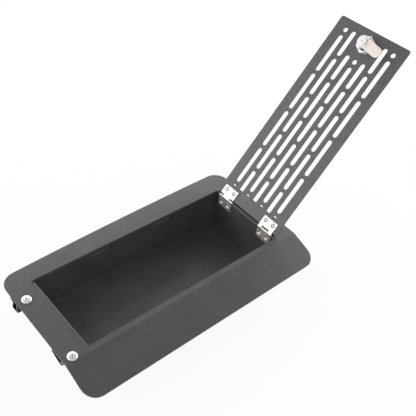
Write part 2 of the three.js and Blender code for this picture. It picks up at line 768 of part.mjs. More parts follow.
function lockBody() {
  const face = OUTER_FACE + SEAT;
  const front = face + LOCK_FLANGE;
  const end = level(LOCK_BARREL_END);
  let body = turned(
    [
      [0, end],
      [LOCK_BARREL_RADIUS - LOCK_EDGE, end],
      [LOCK_BARREL_RADIUS, end + LOCK_EDGE],
      [LOCK_BARREL_RADIUS, face],
      [LOCK_FLANGE_RADIUS, face],
      [LOCK_FLANGE_RADIUS, front - LOCK_EDGE],
      [LOCK_FLANGE_RADIUS - LOCK_EDGE, front],
      [0, front],
    ],
    BARREL_ROUND,
  );
  const bore = circle(0, 0, PLUG_RADIUS + PLUG_RUNNING, BARREL_ROUND);
  body = body.subtract(alongZ(bore, end - PAST, front + PAST));
  // The rim is cut back over the turn of the cam and the width of the stop tab.
  const cut = ringSector(
    STOP_TAB_INSIDE - STOP_TAB_PLAY,
    LOCK_BARREL_RADIUS + PAST,
    CAM_TURN / 2,
    CAM_TURN + STOP_TAB_ANGLE + STOP_TURN_PLAY,
    end - PAST,
    level(STOP_TAB_START - STOP_TAB_PLAY),
  );
  return moved(body.subtract(cut), LOCK_X, 0, 0);
}

function lockWasher() {
  const under = level(LOCK_WASHER + SEAT);
  const ring = alongZ(circle(0, 0, LOCK_WASHER_RADIUS, BARREL_ROUND), under, level(SEAT));
  const hole = circle(0, 0, LOCK_BARREL_RADIUS + SIDE_PLAY, BARREL_ROUND);
  return moved(ring.subtract(alongZ(hole, under - PAST, level(-PAST))), LOCK_X, 0, 0);
}

function lockNut() {
  const start = level(LOCK_WASHER + 2 * SEAT);
  const end = level(LOCK_NUT_END);
  const hole = circle(0, 0, LOCK_BARREL_RADIUS + SIDE_PLAY, BARREL_ROUND);
  const nut = chamferedHexagon(LOCK_NUT_FLATS, LOCK_NUT_CHAMFER, end, start);
  return moved(nut.subtract(alongZ(hole, end - PAST, start + PAST)), LOCK_X, 0, 0);
}

function square(side, corner, from, to) {
  const half = side / 2;
  const corners = rectangle(-half, -half, half, half).map(([u, v]) => [u, v, corner]);
  return alongZ(rounded(corners, 2), from, to);
}

// The turning pieces of the lock are made round their own axis, pointing at the locked side.
function lockPlug() {
  const front = OUTER_FACE + SEAT + LOCK_FLANGE - PLUG_FACE_RECESS;
  const shoulder = level(STOP_DISC_START - SEAT);
  const end = level(DRIVE_END);
  let plug = alongZ(circle(0, 0, PLUG_RADIUS, BARREL_ROUND), shoulder, front);
  plug = plug.add(square(DRIVE_SIDE, DRIVE_CORNER, end, shoulder + PAST));
  const halfWidth = KEYWAY_WIDTH / 2;
  const halfHeight = KEYWAY_HEIGHT / 2;
  const keyway = rectangle(-halfWidth, -halfHeight, halfWidth, halfHeight);
  plug = plug.subtract(alongZ(keyway, front - KEYWAY_DEPTH, front + PAST));
  const thread = circle(0, 0, CAM_BOLT_RADIUS + SIDE_PLAY);
  return plug.subtract(alongZ(thread, end - PAST, end + CAM_BOLT_LENGTH));
}

function squareHole(from, to) {
  return square(DRIVE_SIDE + 2 * DRIVE_PLAY, DRIVE_HOLE_CORNER, from, to);
}

function lockStopDisc() {
  const disc = alongZ(
    circle(0, 0, STOP_DISC_RADIUS, BARREL_ROUND),
    level(STOP_DISC_END),
    level(STOP_DISC_START),
  );
  const tab = ringSector(
    STOP_TAB_INSIDE,
    STOP_DISC_RADIUS,
    0,
    STOP_TAB_ANGLE,
    level(STOP_DISC_END),
    level(STOP_TAB_START),
  );
  const hole = squareHole(level(STOP_DISC_END + PAST), level(STOP_DISC_START - PAST));
  return disc.add(tab).subtract(hole);
}

function lockCam() {
  const half = CAM_WIDTH / 2;
  const under = level(CAM_END);
  const over = level(CAM_START);
  const base = alongZ(circle(0, 0, CAM_BASE_RADIUS, BARREL_ROUND), under, over);
  const arm = rounded([
    [-CAM_REACH, -half, CAM_TIP_RADIUS],
    [0, -half, 0],
    [0, half, 0],
    [-CAM_REACH, half, CAM_TIP_RADIUS],
  ]);
  return base.add(alongZ(arm, under, over)).subtract(squareHole(under - PAST, over + PAST));
}

function lockCamBolt() {
  const under = level(CAM_END + SEAT);
  const end = under - CAM_BOLT_HEAD;
  const turn = radians(CAM_BOLT_TURN);
  const head = chamferedHexagon(CAM_BOLT_FLATS, CAM_BOLT_CHAMFER, end, under, turn);
  const tip = under + CAM_BOLT_LENGTH - PAST;
  return head.add(alongZ(circle(0, 0, CAM_BOLT_RADIUS), under - PAST, tip));
}

function clampScrew(y) {
  const cross = {
    reach: CLAMP_CROSS_REACH,
    width: CLAMP_CROSS_WIDTH,
    depth: CLAMP_CROSS_DEPTH,
  };
  const [radius, height] = [CLAMP_HEAD_RADIUS, CLAMP_HEAD];
  const screw = crossHead(radius, height, CLAMP_SCREW_RADIUS, CLAMP_SCREW_LENGTH, cross);
  return moved(screw, CLAMP_X, y, PLATE_TOP + SEAT);
}

// A clamp clip is a bent spring strip: its top leg lies under the face plate, and its lower
// leg is drawn up by the screw. Its corners are given along Y from the screw, and down from
// the underside of the plate to the middle of the strip.
function clampClip(corners, inside, y) {
  const line = corners.map(([along, down]) => [y + along, PLATE_UNDER - down]);
  const from = -OPENING_X - RIM_AT_LOCK + CLIP_FROM_EDGE;
  const clip = alongX(strip(line, CLIP_SHEET, inside), from, from + CLIP_WIDTH);
  return clip.subtract(alongZ(circle(CLAMP_X, y, CLAMP_HOLE_RADIUS), 0, PLATE_TOP));
}

function clampClipNear() {
  const top = SEAT + CLIP_SHEET / 2;
  const corners = [
    [NEAR_CLIP_TIP, top],
    [-NEAR_CLIP_FOLD, top],
    [-NEAR_CLIP_FOLD, NEAR_CLIP_FOLD_DROP],
    [NEAR_CLIP_LEVEL - NEAR_CLIP_FOLD, NEAR_CLIP_FOLD_DROP],
    [NEAR_CLIP_TIP, NEAR_CLIP_TIP_DROP],
  ];
  return clampClip(corners, NEAR_CLIP_INSIDE, CLAMP_NEAR_Y);
}

function clampClipFar() {
  const top = SEAT + CLIP_SHEET / 2;
  const corners = [
    [-FAR_CLIP_END, top],
    [FAR_CLIP_FOLD, top],
    [FAR_CLIP_FOLD, FAR_CLIP_FOLD_DROP],
    [FAR_CLIP_NECK, FAR_CLIP_NECK_DROP],
    [FAR_CLIP_HEEL, FAR_CLIP_HEEL_DROP],
    [FAR_CLIP_TOE, FAR_CLIP_TOE_DROP],
    [-FAR_CLIP_TIP, FAR_CLIP_TIP_DROP],
  ];
  return clampClip(corners, FAR_CLIP_INSIDE, CLAMP_FAR_Y);
}

function paint(color, roughness, metalness) {
  return new THREE.MeshStandardMaterial({ color, roughness, metalness });
}

const powderCoat = paint(0x66636a, 0.62, 0.15);
const lidCoat = paint(0x5c5a5f, 0.62, 0.15);
const innerCoat = paint(0x3a3a3c, 0.7, 0.1);
const nickel = paint(0xd9dadd, 0.25, 1);
const camSteel = paint(0xd2bfb2, 0.35, 1);
const blackSpring = paint(0x17171a, 0.45, 0.6);

function mesh(name, solid, material) {
  const made = new THREE.Mesh(geometryFrom(solid), material);
  made.name = name;
  return made;
}

function boxPieces(group) {
  group.add(mesh("face_plate", facePlate(), powderCoat));
  group.add(mesh("tray_channel", trayChannel(), innerCoat));
  group.add(mesh("end_wall_lock", endWallLock(), innerCoat));
  group.add(mesh("end_wall_hinge", endWallHinge(), innerCoat));
  group.add(mesh("clamp_screw_far", clampScrew(CLAMP_FAR_Y), nickel));
  group.add(mesh("clamp_screw_near", clampScrew(CLAMP_NEAR_Y), nickel));
  group.add(mesh("clamp_clip_far", clampClipFar(), blackSpring));
  group.add(mesh("clamp_clip_near", clampClipNear(), blackSpring));
}

// The far hinge has its centre knuckle on the lid, the near one on the box.
function hinge(group, lid, name, y, centreOnLid) {
  const upright = hingeLeaf(!centreOnLid).rotate([0, -90, 0]).mirror([1, 0, 0]);
  const boxLeaf = moved(upright, PIN_X, y, PIN_Z);
  const lidLeaf = moved(hingeLeaf(centreOnLid), 0, y, 0);
  group.add(mesh(name + "_hinge_box_leaf", boxLeaf, nickel));
  group.add(mesh(name + "_hinge_pin", moved(hingePin(), PIN_X, y, PIN_Z), nickel));
  lid.add(mesh(name + "_hinge_lid_leaf", lidLeaf, nickel));
  [-1, 1].forEach((side, i) => {
    const across = y + (side * LEAF_HOLE_SPACING) / 2;
    const rivet = moved(lidRivet(), -LEAF_HOLE_FROM_PIN, across, 0);
    lid.add(mesh(name + "_hinge_rivet_" + (i + 1), rivet, nickel));
    group.add(mesh(name + "_hinge_screw_" + (i + 1), wallScrew(across), nickel));
    group.add(mesh(name + "_hinge_nut_" + (i + 1), wallNut(across), nickel));
  });
}

function lockPieces(lid) {
  lid.add(mesh("lock_body", lockBody(), nickel));
  lid.add(mesh("lock_washer", lockWasher(), nickel));
  lid.add(mesh("lock_nut", lockNut(), nickel));
  const turning = new THREE.Group();
  turning.position.set(LOCK_X, 0, 0);
  turning.rotation.z = radians(CAM_TURN); // unlocked
  turning.add(mesh("lock_plug", lockPlug(), nickel));
  turning.add(mesh("lock_stop_disc", lockStopDisc(), nickel));
  turning.add(mesh("lock_cam", lockCam(), camSteel));
  turning.add(mesh("lock_cam_bolt", lockCamBolt(), nickel));
  lid.add(turning);
}

const lockbox = new THREE.Group();
const lid = new THREE.Group();
lid.position.set(PIN_X, 0, PIN_Z);
lid.rotation.y = radians(LID_OPEN);
boxPieces(lockbox);
hinge(lockbox, lid, "far", HINGE_Y, true);
hinge(lockbox, lid, "near", -HINGE_Y, false);
lid.add(mesh("lid_panel", lidPanel(), lidCoat));
lockPieces(lid);
lockbox.add(lid);

export default lockbox;
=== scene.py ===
import bmesh
import bpy
import json
import math
from mathutils import Matrix, Vector


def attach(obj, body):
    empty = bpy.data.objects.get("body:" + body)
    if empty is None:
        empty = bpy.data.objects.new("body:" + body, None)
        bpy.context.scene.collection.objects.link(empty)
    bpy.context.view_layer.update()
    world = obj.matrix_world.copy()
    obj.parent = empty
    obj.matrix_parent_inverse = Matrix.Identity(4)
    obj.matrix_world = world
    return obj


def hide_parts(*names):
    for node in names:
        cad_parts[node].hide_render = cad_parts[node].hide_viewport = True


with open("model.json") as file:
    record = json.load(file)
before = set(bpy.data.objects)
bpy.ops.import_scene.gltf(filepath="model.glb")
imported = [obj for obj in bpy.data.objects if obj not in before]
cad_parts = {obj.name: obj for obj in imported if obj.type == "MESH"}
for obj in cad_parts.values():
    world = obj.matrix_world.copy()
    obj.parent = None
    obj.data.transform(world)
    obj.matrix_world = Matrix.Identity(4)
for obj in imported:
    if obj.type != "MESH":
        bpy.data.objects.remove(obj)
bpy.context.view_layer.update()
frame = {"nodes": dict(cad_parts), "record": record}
scene = bpy.context.scene
mm = 0.001


def metres(*millimetres):
    return Vector(millimetres) * mm


def shifted(*millimetres):
    return Matrix.Translation(metres(*millimetres))


def swung(degrees, axis):
    return Matrix.Rotation(math.radians(degrees), 4, axis)


# Camera at the photograph's viewing angle, above the lock end and turned a little to the left
cameraValues = {
    "place": (-0.3822, -0.4262, 0.6610),
    "right": (0.74882, -0.65310, 0.11281),
    "up": (0.37514, 0.55797, 0.74023),
    "back": (-0.54639, -0.51198, 0.66282),
    "lens": 56.23,
    "sensor": 36.0,
}


def makeCamera(values):
    data = bpy.data.cameras.new("camera")
    data.lens = values["lens"]
    data.sensor_width = values["sensor"]
    data.sensor_fit = "HORIZONTAL"
    data.clip_start = 0.01
    camera = bpy.data.objects.new("camera", data)
    scene.collection.objects.link(camera)
    turn = Matrix((values["right"], values["up"], values["back"])).transposed()
    camera.matrix_world = Matrix.Translation(values["place"]) @ turn.to_4x4()
    scene.camera = camera


makeCamera(cameraValues)
print("camera in place")


# Node helpers
def newMaterial(name):
    material = bpy.data.materials.new(name)
    material.use_nodes = True
    material.node_tree.nodes.clear()
    return material, material.node_tree


def addNode(tree, kind, x=0, y=0, **settings):
    node = tree.nodes.new(kind)
    node.location = (x, y)
    for key, value in settings.items():
        setattr(node, key, value)
    return node


def newGroup(name, inputs, outputs):
    group = bpy.data.node_groups.new(name, "ShaderNodeTree")
    for label, value in inputs.items():
        socket = group.interface.new_socket(label, in_out="INPUT", socket_type="NodeSocketFloat")
        socket.default_value = value
    for label, kind in outputs.items():
        group.interface.new_socket(label, in_out="OUTPUT", socket_type=kind)
    return group, addNode(group, "NodeGroupInput", -900), addNode(group, "NodeGroupOutput", 700)


def math2(tree, operation, a, b=None, clamp=False):
    node = addNode(tree, "ShaderNodeMath", operation=operation, use_clamp=clamp)
    for socket, value in zip(node.inputs, (a, b)):
        if isinstance(value, bpy.types.NodeSocket):
            tree.links.new(value, socket)
        elif value is not None:
            socket.default_value = value
    return node.outputs[0]


def noise(tree, coordinates, scale, detail=2.0, roughness=0.5):
    node = addNode(tree, "ShaderNodeTexNoise")
    node.inputs["Detail"].default_value = detail
    node.inputs["Roughness"].default_value = roughness
    tree.links.new(coordinates, node.inputs["Vector"])
    if isinstance(scale, bpy.types.NodeSocket):
        tree.links.new(scale, node.inputs["Scale"])
    else:
        node.inputs["Scale"].default_value = scale
    return node.outputs["Fac"]


def spread(tree, value, low, high, toLow=0.0, toHigh=1.0):
    node = addNode(tree, "ShaderNodeMapRange", clamp=True)
    for label, setting in (("From Min", low), ("From Max", high), ("To Min", toLow), ("To Max", toHigh)):
        if isinstance(setting, bpy.types.NodeSocket):
            tree.links.new(setting, node.inputs[label])
        else:
            node.inputs[label].default_value = setting
    tree.links.new(value, node.inputs["Value"])
    return node.outputs["Result"]


# Powder coat: fine pimples, slow waves of the flow-out, and a faint blotchiness of the colour
def makeCoatGroup():
    group, given, out = newGroup(
        "powderCoatGrain",
        {
            "Grain per metre": 1500.0,
            "Wave per metre": 160.0,
            "Mottle per metre": 420.0,
            "Blotch per metre": 30.0,
            "Mottle share": 0.5,
        },
        {"Height": "NodeSocketFloat", "Speckle": "NodeSocketFloat", "Shade": "NodeSocketFloat"},
    )
    place = addNode(group, "ShaderNodeTexCoord", -1100, -200).outputs["Object"]
    grain = noise(group, place, given.outputs["Grain per metre"], 2.0, 0.6)
    wave = noise(group, place, given.outputs["Wave per metre"], 1.0, 0.4)
    blotch = noise(group, place, given.outputs["Blotch per metre"], 3.0, 0.55)
    height = math2(group, "ADD", math2(group, "MULTIPLY", grain, 0.55), math2(group, "MULTIPLY", wave, 0.45))
    mottle = noise(group, place, given.outputs["Mottle per metre"], 2.0, 0.6)
    shade = addNode(group, "ShaderNodeMix", data_type="FLOAT")
    group.links.new(given.outputs["Mottle share"], shade.inputs[0])
    group.links.new(spread(group, blotch, 0.35, 0.65), shade.inputs[2])
    group.links.new(spread(group, mottle, 0.36, 0.64), shade.inputs[3])
    group.links.new(height, out.inputs["Height"])
    group.links.new(spread(group, grain, 0.38, 0.66), out.inputs["Speckle"])
    group.links.new(shade.outputs[0], out.inputs["Shade"])
    return group


# Edge mask, the surface's own normal against one rounded over the width: real wear on some finishes, painted
# edge light and shade on others
def makeEdgeGroup():
    group, given, out = newGroup(
        "edgeWearAndPaintedLight",
        {"Width": 0.0006, "Breaks per metre": 220.0, "Amount": 1.0},
        {"Mask": "NodeSocketFloat"},
    )
    rounded = addNode(group, "ShaderNodeBevel", samples=4)
    group.links.new(given.outputs["Width"], rounded.inputs["Radius"])
    plain = addNode(group, "ShaderNodeNewGeometry").outputs["Normal"]
    likeness = addNode(group, "ShaderNodeVectorMath", operation="DOT_PRODUCT")
    group.links.new(rounded.outputs[0], likeness.inputs[0])
    group.links.new(plain, likeness.inputs[1])
    edge = spread(group, likeness.outputs["Value"], 0.995, 0.80)
    place = addNode(group, "ShaderNodeTexCoord").outputs["Object"]
    breaks = spread(group, noise(group, place, given.outputs["Breaks per metre"], 3.0, 0.6), 0.40, 0.60)
    mask = math2(group, "MULTIPLY", edge, breaks)
    mask = math2(group, "MULTIPLY", mask, given.outputs["Amount"], True)
    group.links.new(mask, out.inputs["Mask"])
    return group


coatGroup = makeCoatGroup()
edgeGroup = makeEdgeGroup()


def placeGroup(tree, group, values):
    node = addNode(tree, "ShaderNodeGroup", node_tree=group)
    for label, value in values.items():
        node.inputs[label].default_value = value
    return node


def mixColours(tree, factor, first, second):
    node = addNode(tree, "ShaderNodeMix", data_type="RGBA")
    tree.links.new(factor, node.inputs["Factor"])
    for socket, value in ((node.inputs[6], first), (node.inputs[7], second)):
        if isinstance(value, bpy.types.NodeSocket):
            tree.links.new(value, socket)
        else:
            socket.default_value = (*value, 1.0)
    return node.outputs[2]


def addBump(tree, height, strength, distance):
    bump = addNode(tree, "ShaderNodeBump")
    bump.inputs["Strength"].default_value = strength
    bump.inputs["Distance"].default_value = distance
    tree.links.new(height, bump.inputs["Height"])
    return bump.outputs["Normal"]


def makeCoat(name, values):
    material, tree = newMaterial(name)
    shader = addNode(tree, "ShaderNodeBsdfPrincipled", 300)
    result = addNode(tree, "ShaderNodeOutputMaterial", 600)
    tree.links.new(shader.outputs[0], result.inputs["Surface"])
    grain = placeGroup(tree, coatGroup, values["grain"])
    edges = placeGroup(tree, edgeGroup, values["edges"])
    colour = mixColours(tree, grain.outputs["Shade"], values["dark"], values["light"])
    flecks = math2(tree, "MULTIPLY", grain.outputs["Speckle"], values["speckle"])
    colour = mixColours(tree, flecks, colour, values["fleck"])
    colour = mixColours(tree, edges.outputs["Mask"], colour, values["edgeWearAndShade"])
    tree.links.new(colour, shader.inputs["Base Color"])
    rough = spread(tree, grain.outputs["Speckle"], 0.0, 1.0, *values["roughness"])
    tree.links.new(rough, shader.inputs["Roughness"])
    shader.inputs["Specular IOR Level"].default_value = values["specular"]
    normal = addBump(tree, grain.outputs["Height"], values["bump"], values["bumpHeight"])
    tree.links.new(normal, shader.inputs["Normal"])
    return material


platePaint = makeCoat("facePlateCoat", {
    "grain": {
        "Mottle per metre": 460.0,
        "Wave per metre": 240.0,
        "Blotch per metre": 26.0,
        "Mottle share": 0.6,
    },
    "edges": {"Width": 0.0006, "Breaks per metre": 160.0, "Amount": 0.32},
    "dark": (0.071, 0.067, 0.070),
    "light": (0.107, 0.103, 0.107),
    "fleck": (0.150, 0.144, 0.150),
    "edgeWearAndShade": (0.260, 0.250, 0.252),
    "speckle": 0.35,
    "roughness": (0.22, 0.31),
    "specular": 0.5,
    "bump": 0.35,
    "bumpHeight": 0.00012,
})
# Lid coat: its darker edge colour paints a dark shade line along the cut edges and slot rims
lidPaint = makeCoat("lidCoat", {
    "grain": {
        "Grain per metre": 850.0,
        "Mottle per metre": 520.0,
        "Wave per metre": 300.0,
        "Mottle share": 0.85,
    },
    "edges": {"Width": 0.0005, "Breaks per metre": 200.0, "Amount": 0.60},
    "dark": (0.044, 0.041, 0.045),
    "light": (0.136, 0.132, 0.142),
    "fleck": (0.150, 0.144, 0.160),
    "edgeWearAndShade": (0.042, 0.040, 0.043),
    "speckle": 0.40,
    "roughness": (0.32, 0.45),
    "specular": 0.5,
    "bump": 0.60,
    "bumpHeight": 0.00020,
})
boxPaint = makeCoat("boxCoat", {
    "grain": {
        "Mottle per metre": 430.0,
        "Wave per metre": 220.0,
        "Blotch per metre": 26.0,
        "Mottle share": 0.4,
    },
    "edges": {"Width": 0.0006, "Breaks per metre": 180.0, "Amount": 0.50},
    "dark": (0.057, 0.057, 0.061),
    "light": (0.090, 0.089, 0.094),
    "fleck": (0.105, 0.105, 0.111),
    "edgeWearAndShade": (0.220, 0.218, 0.222),
    "speckle": 0.30,
    "roughness": (0.30, 0.42),
    "specular": 0.5,
    "bump": 0.30,
    "bumpHeight": 0.00010,
})


# Metal, and the grime on it: cloudy brightness and fine rolling or tumbling marks along Y
def makeMetalGroup():
    group, given, out = newGroup(
        "platedMetal",
        {"Cloud per metre": 260.0, "Marks per metre": 2600.0, "Stretch": 0.12},
        {"Cloud": "NodeSocketFloat", "Marks": "NodeSocketFloat"},
    )
    place = addNode(group, "ShaderNodeTexCoord").outputs["Object"]
    cloud = noise(group, place, given.outputs["Cloud per metre"], 3.0, 0.55)
    squeeze = addNode(group, "ShaderNodeCombineXYZ")
    squeeze.inputs[0].default_value = 1.0
    squeeze.inputs[2].default_value = 1.0
    group.links.new(given.outputs["Stretch"], squeeze.inputs[1])
    drawn = addNode(group, "ShaderNodeVectorMath", operation="MULTIPLY")
    group.links.new(place, drawn.inputs[0])
    group.links.new(squeeze.outputs[0], drawn.inputs[1])
    marks = noise(group, drawn.outputs[0], given.outputs["Marks per metre"], 3.0, 0.6)
    group.links.new(spread(group, cloud, 0.35, 0.65), out.inputs["Cloud"])
    group.links.new(spread(group, marks, 0.30, 0.70), out.inputs["Marks"])
    return group


metalGroup = makeMetalGroup()
metalShare = {"specular": 0.5, "bump": 0.12, "bumpHeight": 0.00003}  # for metals that give no other


def makeMetal(name, given):
    values = {**metalShare, **given}
    material, tree = newMaterial(name)
    shader = addNode(tree, "ShaderNodeBsdfPrincipled", 300)
    result = addNode(tree, "ShaderNodeOutputMaterial", 600)
    tree.links.new(shader.outputs[0], result.inputs["Surface"])
    metal = placeGroup(tree, metalGroup, values["pattern"])
    edges = placeGroup(tree, edgeGroup, values["edges"])
    colour = mixColours(tree, metal.outputs["Cloud"], values["dark"], values["light"])
    colour = mixColours(tree, edges.outputs["Mask"], colour, values["edge"])
    tree.links.new(colour, shader.inputs["Base Color"])
    shader.inputs["Metallic"].default_value = values["metallic"]
    shader.inputs["Specular IOR Level"].default_value = values["specular"]
    rough = spread(tree, metal.outputs["Marks"], 0.0, 1.0, *values["roughness"])
    tree.links.new(rough, shader.inputs["Roughness"])
    normal = addBump(tree, metal.outputs["Marks"], values["bump"], values["bumpHeight"])
    tree.links.new(normal, shader.inputs["Normal"])
    return material


nickel = makeMetal("nickelPlate", {
    "pattern": {"Cloud per metre": 240.0, "Marks per metre": 2400.0, "Stretch": 0.6},
    "edges": {"Width": 0.0003, "Breaks per metre": 500.0, "Amount": 0.5},
    "dark": (0.82, 0.82, 0.83),
    "light": (0.92, 0.92, 0.93),
    "edge": (0.92, 0.92, 0.93),
    "metallic": 0.75,
    "roughness": (0.24, 0.38),
})
# Cam: the bright, widened edge colour paints a highlight along the rim
camMetal = makeMetal("camPlate", {
    "pattern": {"Cloud per metre": 180.0, "Marks per metre": 1800.0, "Stretch": 0.25},
    "edges": {"Width": 0.0018, "Breaks per metre": 400.0, "Amount": 2.2},
    "dark": (0.82, 0.73, 0.66),
    "light": (0.92, 0.83, 0.76),
    "edge": (1.00, 0.97, 0.92),
    "metallic": 0.8,
    "roughness": (0.30, 0.45),
    "bump": 0.2,
    "bumpHeight": 0.00004,
})
leafPlate = makeMetal("hingeLeafPlate", {
    "pattern": {"Cloud per metre": 200.0, "Marks per metre": 1500.0, "Stretch": 0.15},
    "edges": {"Width": 0.0004, "Breaks per metre": 350.0, "Amount": 0.5},
    "dark": (0.58, 0.567, 0.545),
    "light": (0.68, 0.667, 0.645),
    "edge": (0.88, 0.87, 0.85),
    "metallic": 0.75,
    "roughness": (0.30, 0.44),
    "bump": 0.15,
})
# Warm-tinted copy of the hinge plating for the leaves inside the box: a painted warm reflection
boxLeafPaintedReflection = makeMetal("boxLeafPaintedReflection", {
    "pattern": {"Cloud per metre": 200.0, "Marks per metre": 1500.0, "Stretch": 0.15},
    "edges": {"Width": 0.0004, "Breaks per metre": 350.0, "Amount": 0.6},
    "dark": (0.58, 0.545, 0.50),
    "light": (0.74, 0.71, 0.66),
    "edge": (0.90, 0.88, 0.84),
    "metallic": 0.6,
    "roughness": (0.28, 0.42),
    "bump": 0.15,
})
rivetSteel = makeMetal("rivetSteel", {
    "pattern": {"Cloud per metre": 500.0, "Marks per metre": 2400.0, "Stretch": 0.5},
    "edges": {"Width": 0.0002, "Breaks per metre": 500.0, "Amount": 0.4},
    "dark": (0.40, 0.395, 0.39),
    "light": (0.54, 0.53, 0.52),
    "edge": (0.60, 0.59, 0.58),
    "metallic": 0.75,
    "roughness": (0.32, 0.46),
    "bump": 0.15,
})
whiteZinc = makeMetal("whiteZinc", {
    "pattern": {"Cloud per metre": 240.0, "Marks per metre": 2000.0, "Stretch": 0.7},
    "edges": {"Width": 0.0006, "Breaks per metre": 400.0, "Amount": 1.4},
    "dark": (0.90, 0.94, 0.96),
    "light": (0.98, 0.98, 0.99),
    "edge": (1.00, 0.99, 0.98),
    "metallic": 0.2,
    "roughness": (0.30, 0.42),
})
tealZinc = makeMetal("tealZinc", {
    "pattern": {"Cloud per metre": 600.0, "Marks per metre": 2200.0, "Stretch": 0.8},
    "edges": {"Width": 0.0002, "Breaks per metre": 500.0, "Amount": 0.3},
    "dark": (0.32, 0.55, 0.60),
    "light": (0.50, 0.72, 0.76),
    "edge": (0.80, 0.90, 0.92),
    "metallic": 0.5,
    "roughness": (0.34, 0.48),
    "bump": 0.15,
})
# Zinc with a pink-beige tint, a painted warm reflection, for the hinge screws inside the box
zincWithWarmReflection = makeMetal("zincWithWarmReflection", {
    "pattern": {"Cloud per metre": 400.0, "Marks per metre": 2200.0, "Stretch": 0.7},
    "edges": {"Width": 0.0003, "Breaks per metre": 500.0, "Amount": 0.6},
    "dark": (0.84, 0.74, 0.69),
    "light": (0.96, 0.92, 0.89),
    "edge": (1.00, 0.97, 0.95),
    "metallic": 0.5,
    "roughness": (0.28, 0.42),
})
nutZinc = makeMetal("nutZinc", {
    "pattern": {"Cloud per metre": 240.0, "Marks per metre": 2000.0, "Stretch": 0.7},
    "edges": {"Width": 0.0008, "Breaks per metre": 400.0, "Amount": 1.6},
    "dark": (0.94, 0.90, 0.87),
    "light": (0.99, 0.97, 0.95),
    "edge": (1.00, 1.00, 1.00),
    "metallic": 0.2,
    "roughness": (0.30, 0.42),
})
# Blue-grey painted shade for the lock nut's sides, darker than its white zinc face
nutSidePaintedShade = makeMetal("nutSidePaintedShade", {
    "pattern": {"Cloud per metre": 240.0, "Marks per metre": 2000.0, "Stretch": 0.7},
    "edges": {"Width": 0.0003, "Breaks per metre": 400.0, "Amount": 0.4},
    "dark": (0.50, 0.55, 0.66),
    "light": (0.62, 0.67, 0.78),
    "edge": (0.85, 0.88, 0.95),
    "metallic": 0.4,
    "roughness": (0.34, 0.46),
})
# Near-white, less metallic copy of the hinge plating: painted highlight on the rolled knuckles
knucklePaintedHighlight = makeMetal("knucklePaintedHighlight", {
    "pattern": {"Cloud per metre": 240.0, "Marks per metre": 1800.0, "Stretch": 0.3},
    "edges": {"Width": 0.0003, "Breaks per metre": 400.0, "Amount": 0.5},
    "dark": (0.90, 0.89, 0.86),
    "light": (0.98, 0.97, 0.95),
    "edge": (1.00, 0.99, 0.97),
    "metallic": 0.25,
    "roughness": (0.28, 0.40),
})
# Clamp screws: the darker beige edge colour paints shade round the rim of the head
clearZinc = makeMetal("clearZinc", {
    "pattern": {"Cloud per metre": 260.0, "Marks per metre": 2200.0, "Stretch": 0.7},
    "edges": {"Width": 0.0003, "Breaks per metre": 500.0, "Amount": 0.5},
    "dark": (0.88, 0.87, 0.86),
    "light": (0.95, 0.94, 0.93),
    "edge": (0.80, 0.76, 0.72),
    "metallic": 0.4,
    "roughness": (0.28, 0.42),
})
# Dark brown painted shade for the inside of the screws' cross recesses and the clamp screws' ring groove
recessPaintedShade = makeMetal("recessPaintedShade", {
    "pattern": {"Cloud per metre": 700.0, "Marks per metre": 2600.0, "Stretch": 0.8},
    "edges": {"Width": 0.0002, "Breaks per metre": 600.0, "Amount": 0.3},
    "dark": (0.13, 0.095, 0.08),
    "light": (0.28, 0.22, 0.19),
    "edge": (0.50, 0.46, 0.43),
    "metallic": 0.3,
    "roughness": (0.50, 0.70),
    "bump": 0.3,
    "bumpHeight": 0.00004,
})
# Near-black painted shade for the gap under the hinge knuckles, laid on the lid panel's inner face
hingeGapPaintedShade = makeMetal("hingeGapPaintedShade", {
    "pattern": {"Cloud per metre": 500.0, "Marks per metre": 1800.0, "Stretch": 0.8},
    "edges": {"Width": 0.0002, "Breaks per metre": 400.0, "Amount": 0.2},
    "dark": (0.004, 0.004, 0.004),
    "light": (0.012, 0.011, 0.011),
    "edge": (0.04, 0.038, 0.036),
    "metallic": 0.0,
    "specular": 0.12,
    "roughness": (0.60, 0.80),
    "bump": 0.3,
    "bumpHeight": 0.00004,
})
# Near-black painted shade for the lock body's threaded barrel, the dark crescent between the nut and the cam
threadPaintedShade = makeMetal("threadPaintedShade", {
    "pattern": {"Cloud per metre": 300.0, "Marks per metre": 2400.0, "Stretch": 0.8},
    "edges": {"Width": 0.0003, "Breaks per metre": 500.0, "Amount": 0.4},
    "dark": (0.012, 0.012, 0.013),
    "light": (0.04, 0.04, 0.042),
    "edge": (0.12, 0.12, 0.125),
    "metallic": 0.6,
    "roughness": (0.35, 0.52),
    "bump": 0.2,
    "bumpHeight": 0.00004,
})
# Grey painted highlight for the outside of the clip folds, where the black spring steel catches the light
foldPaintedHighlight = makeMetal("springFoldPaintedHighlight", {
    "pattern": {"Cloud per metre": 300.0, "Marks per metre": 1800.0, "Stretch": 0.3},
    "edges": {"Width": 0.0002, "Breaks per metre": 300.0, "Amount": 0.6},
    "dark": (0.16, 0.16, 0.165),
    "light": (0.30, 0.30, 0.31),
    "edge": (0.50, 0.50, 0.51),
    "metallic": 0.5,
    "roughness": (0.34, 0.48),
    "bump": 0.2,
    "bumpHeight": 0.00004,
})
blackSteel = makeMetal("blackSpringSteel", {
    "pattern": {"Cloud per metre": 160.0, "Marks per metre": 1600.0, "Stretch": 0.2},
    "edges": {"Width": 0.0002, "Breaks per metre": 300.0, "Amount": 0.35},
    "dark": (0.004, 0.004, 0.005),
    "light": (0.010, 0.010, 0.011),
    "edge": (0.12, 0.12, 0.125),
    "metallic": 0.0,
    "specular": 0.2,
    "roughness": (0.36, 0.52),
    "bump": 0.2,
    "bumpHeight": 0.00004,
})
print("materials made")

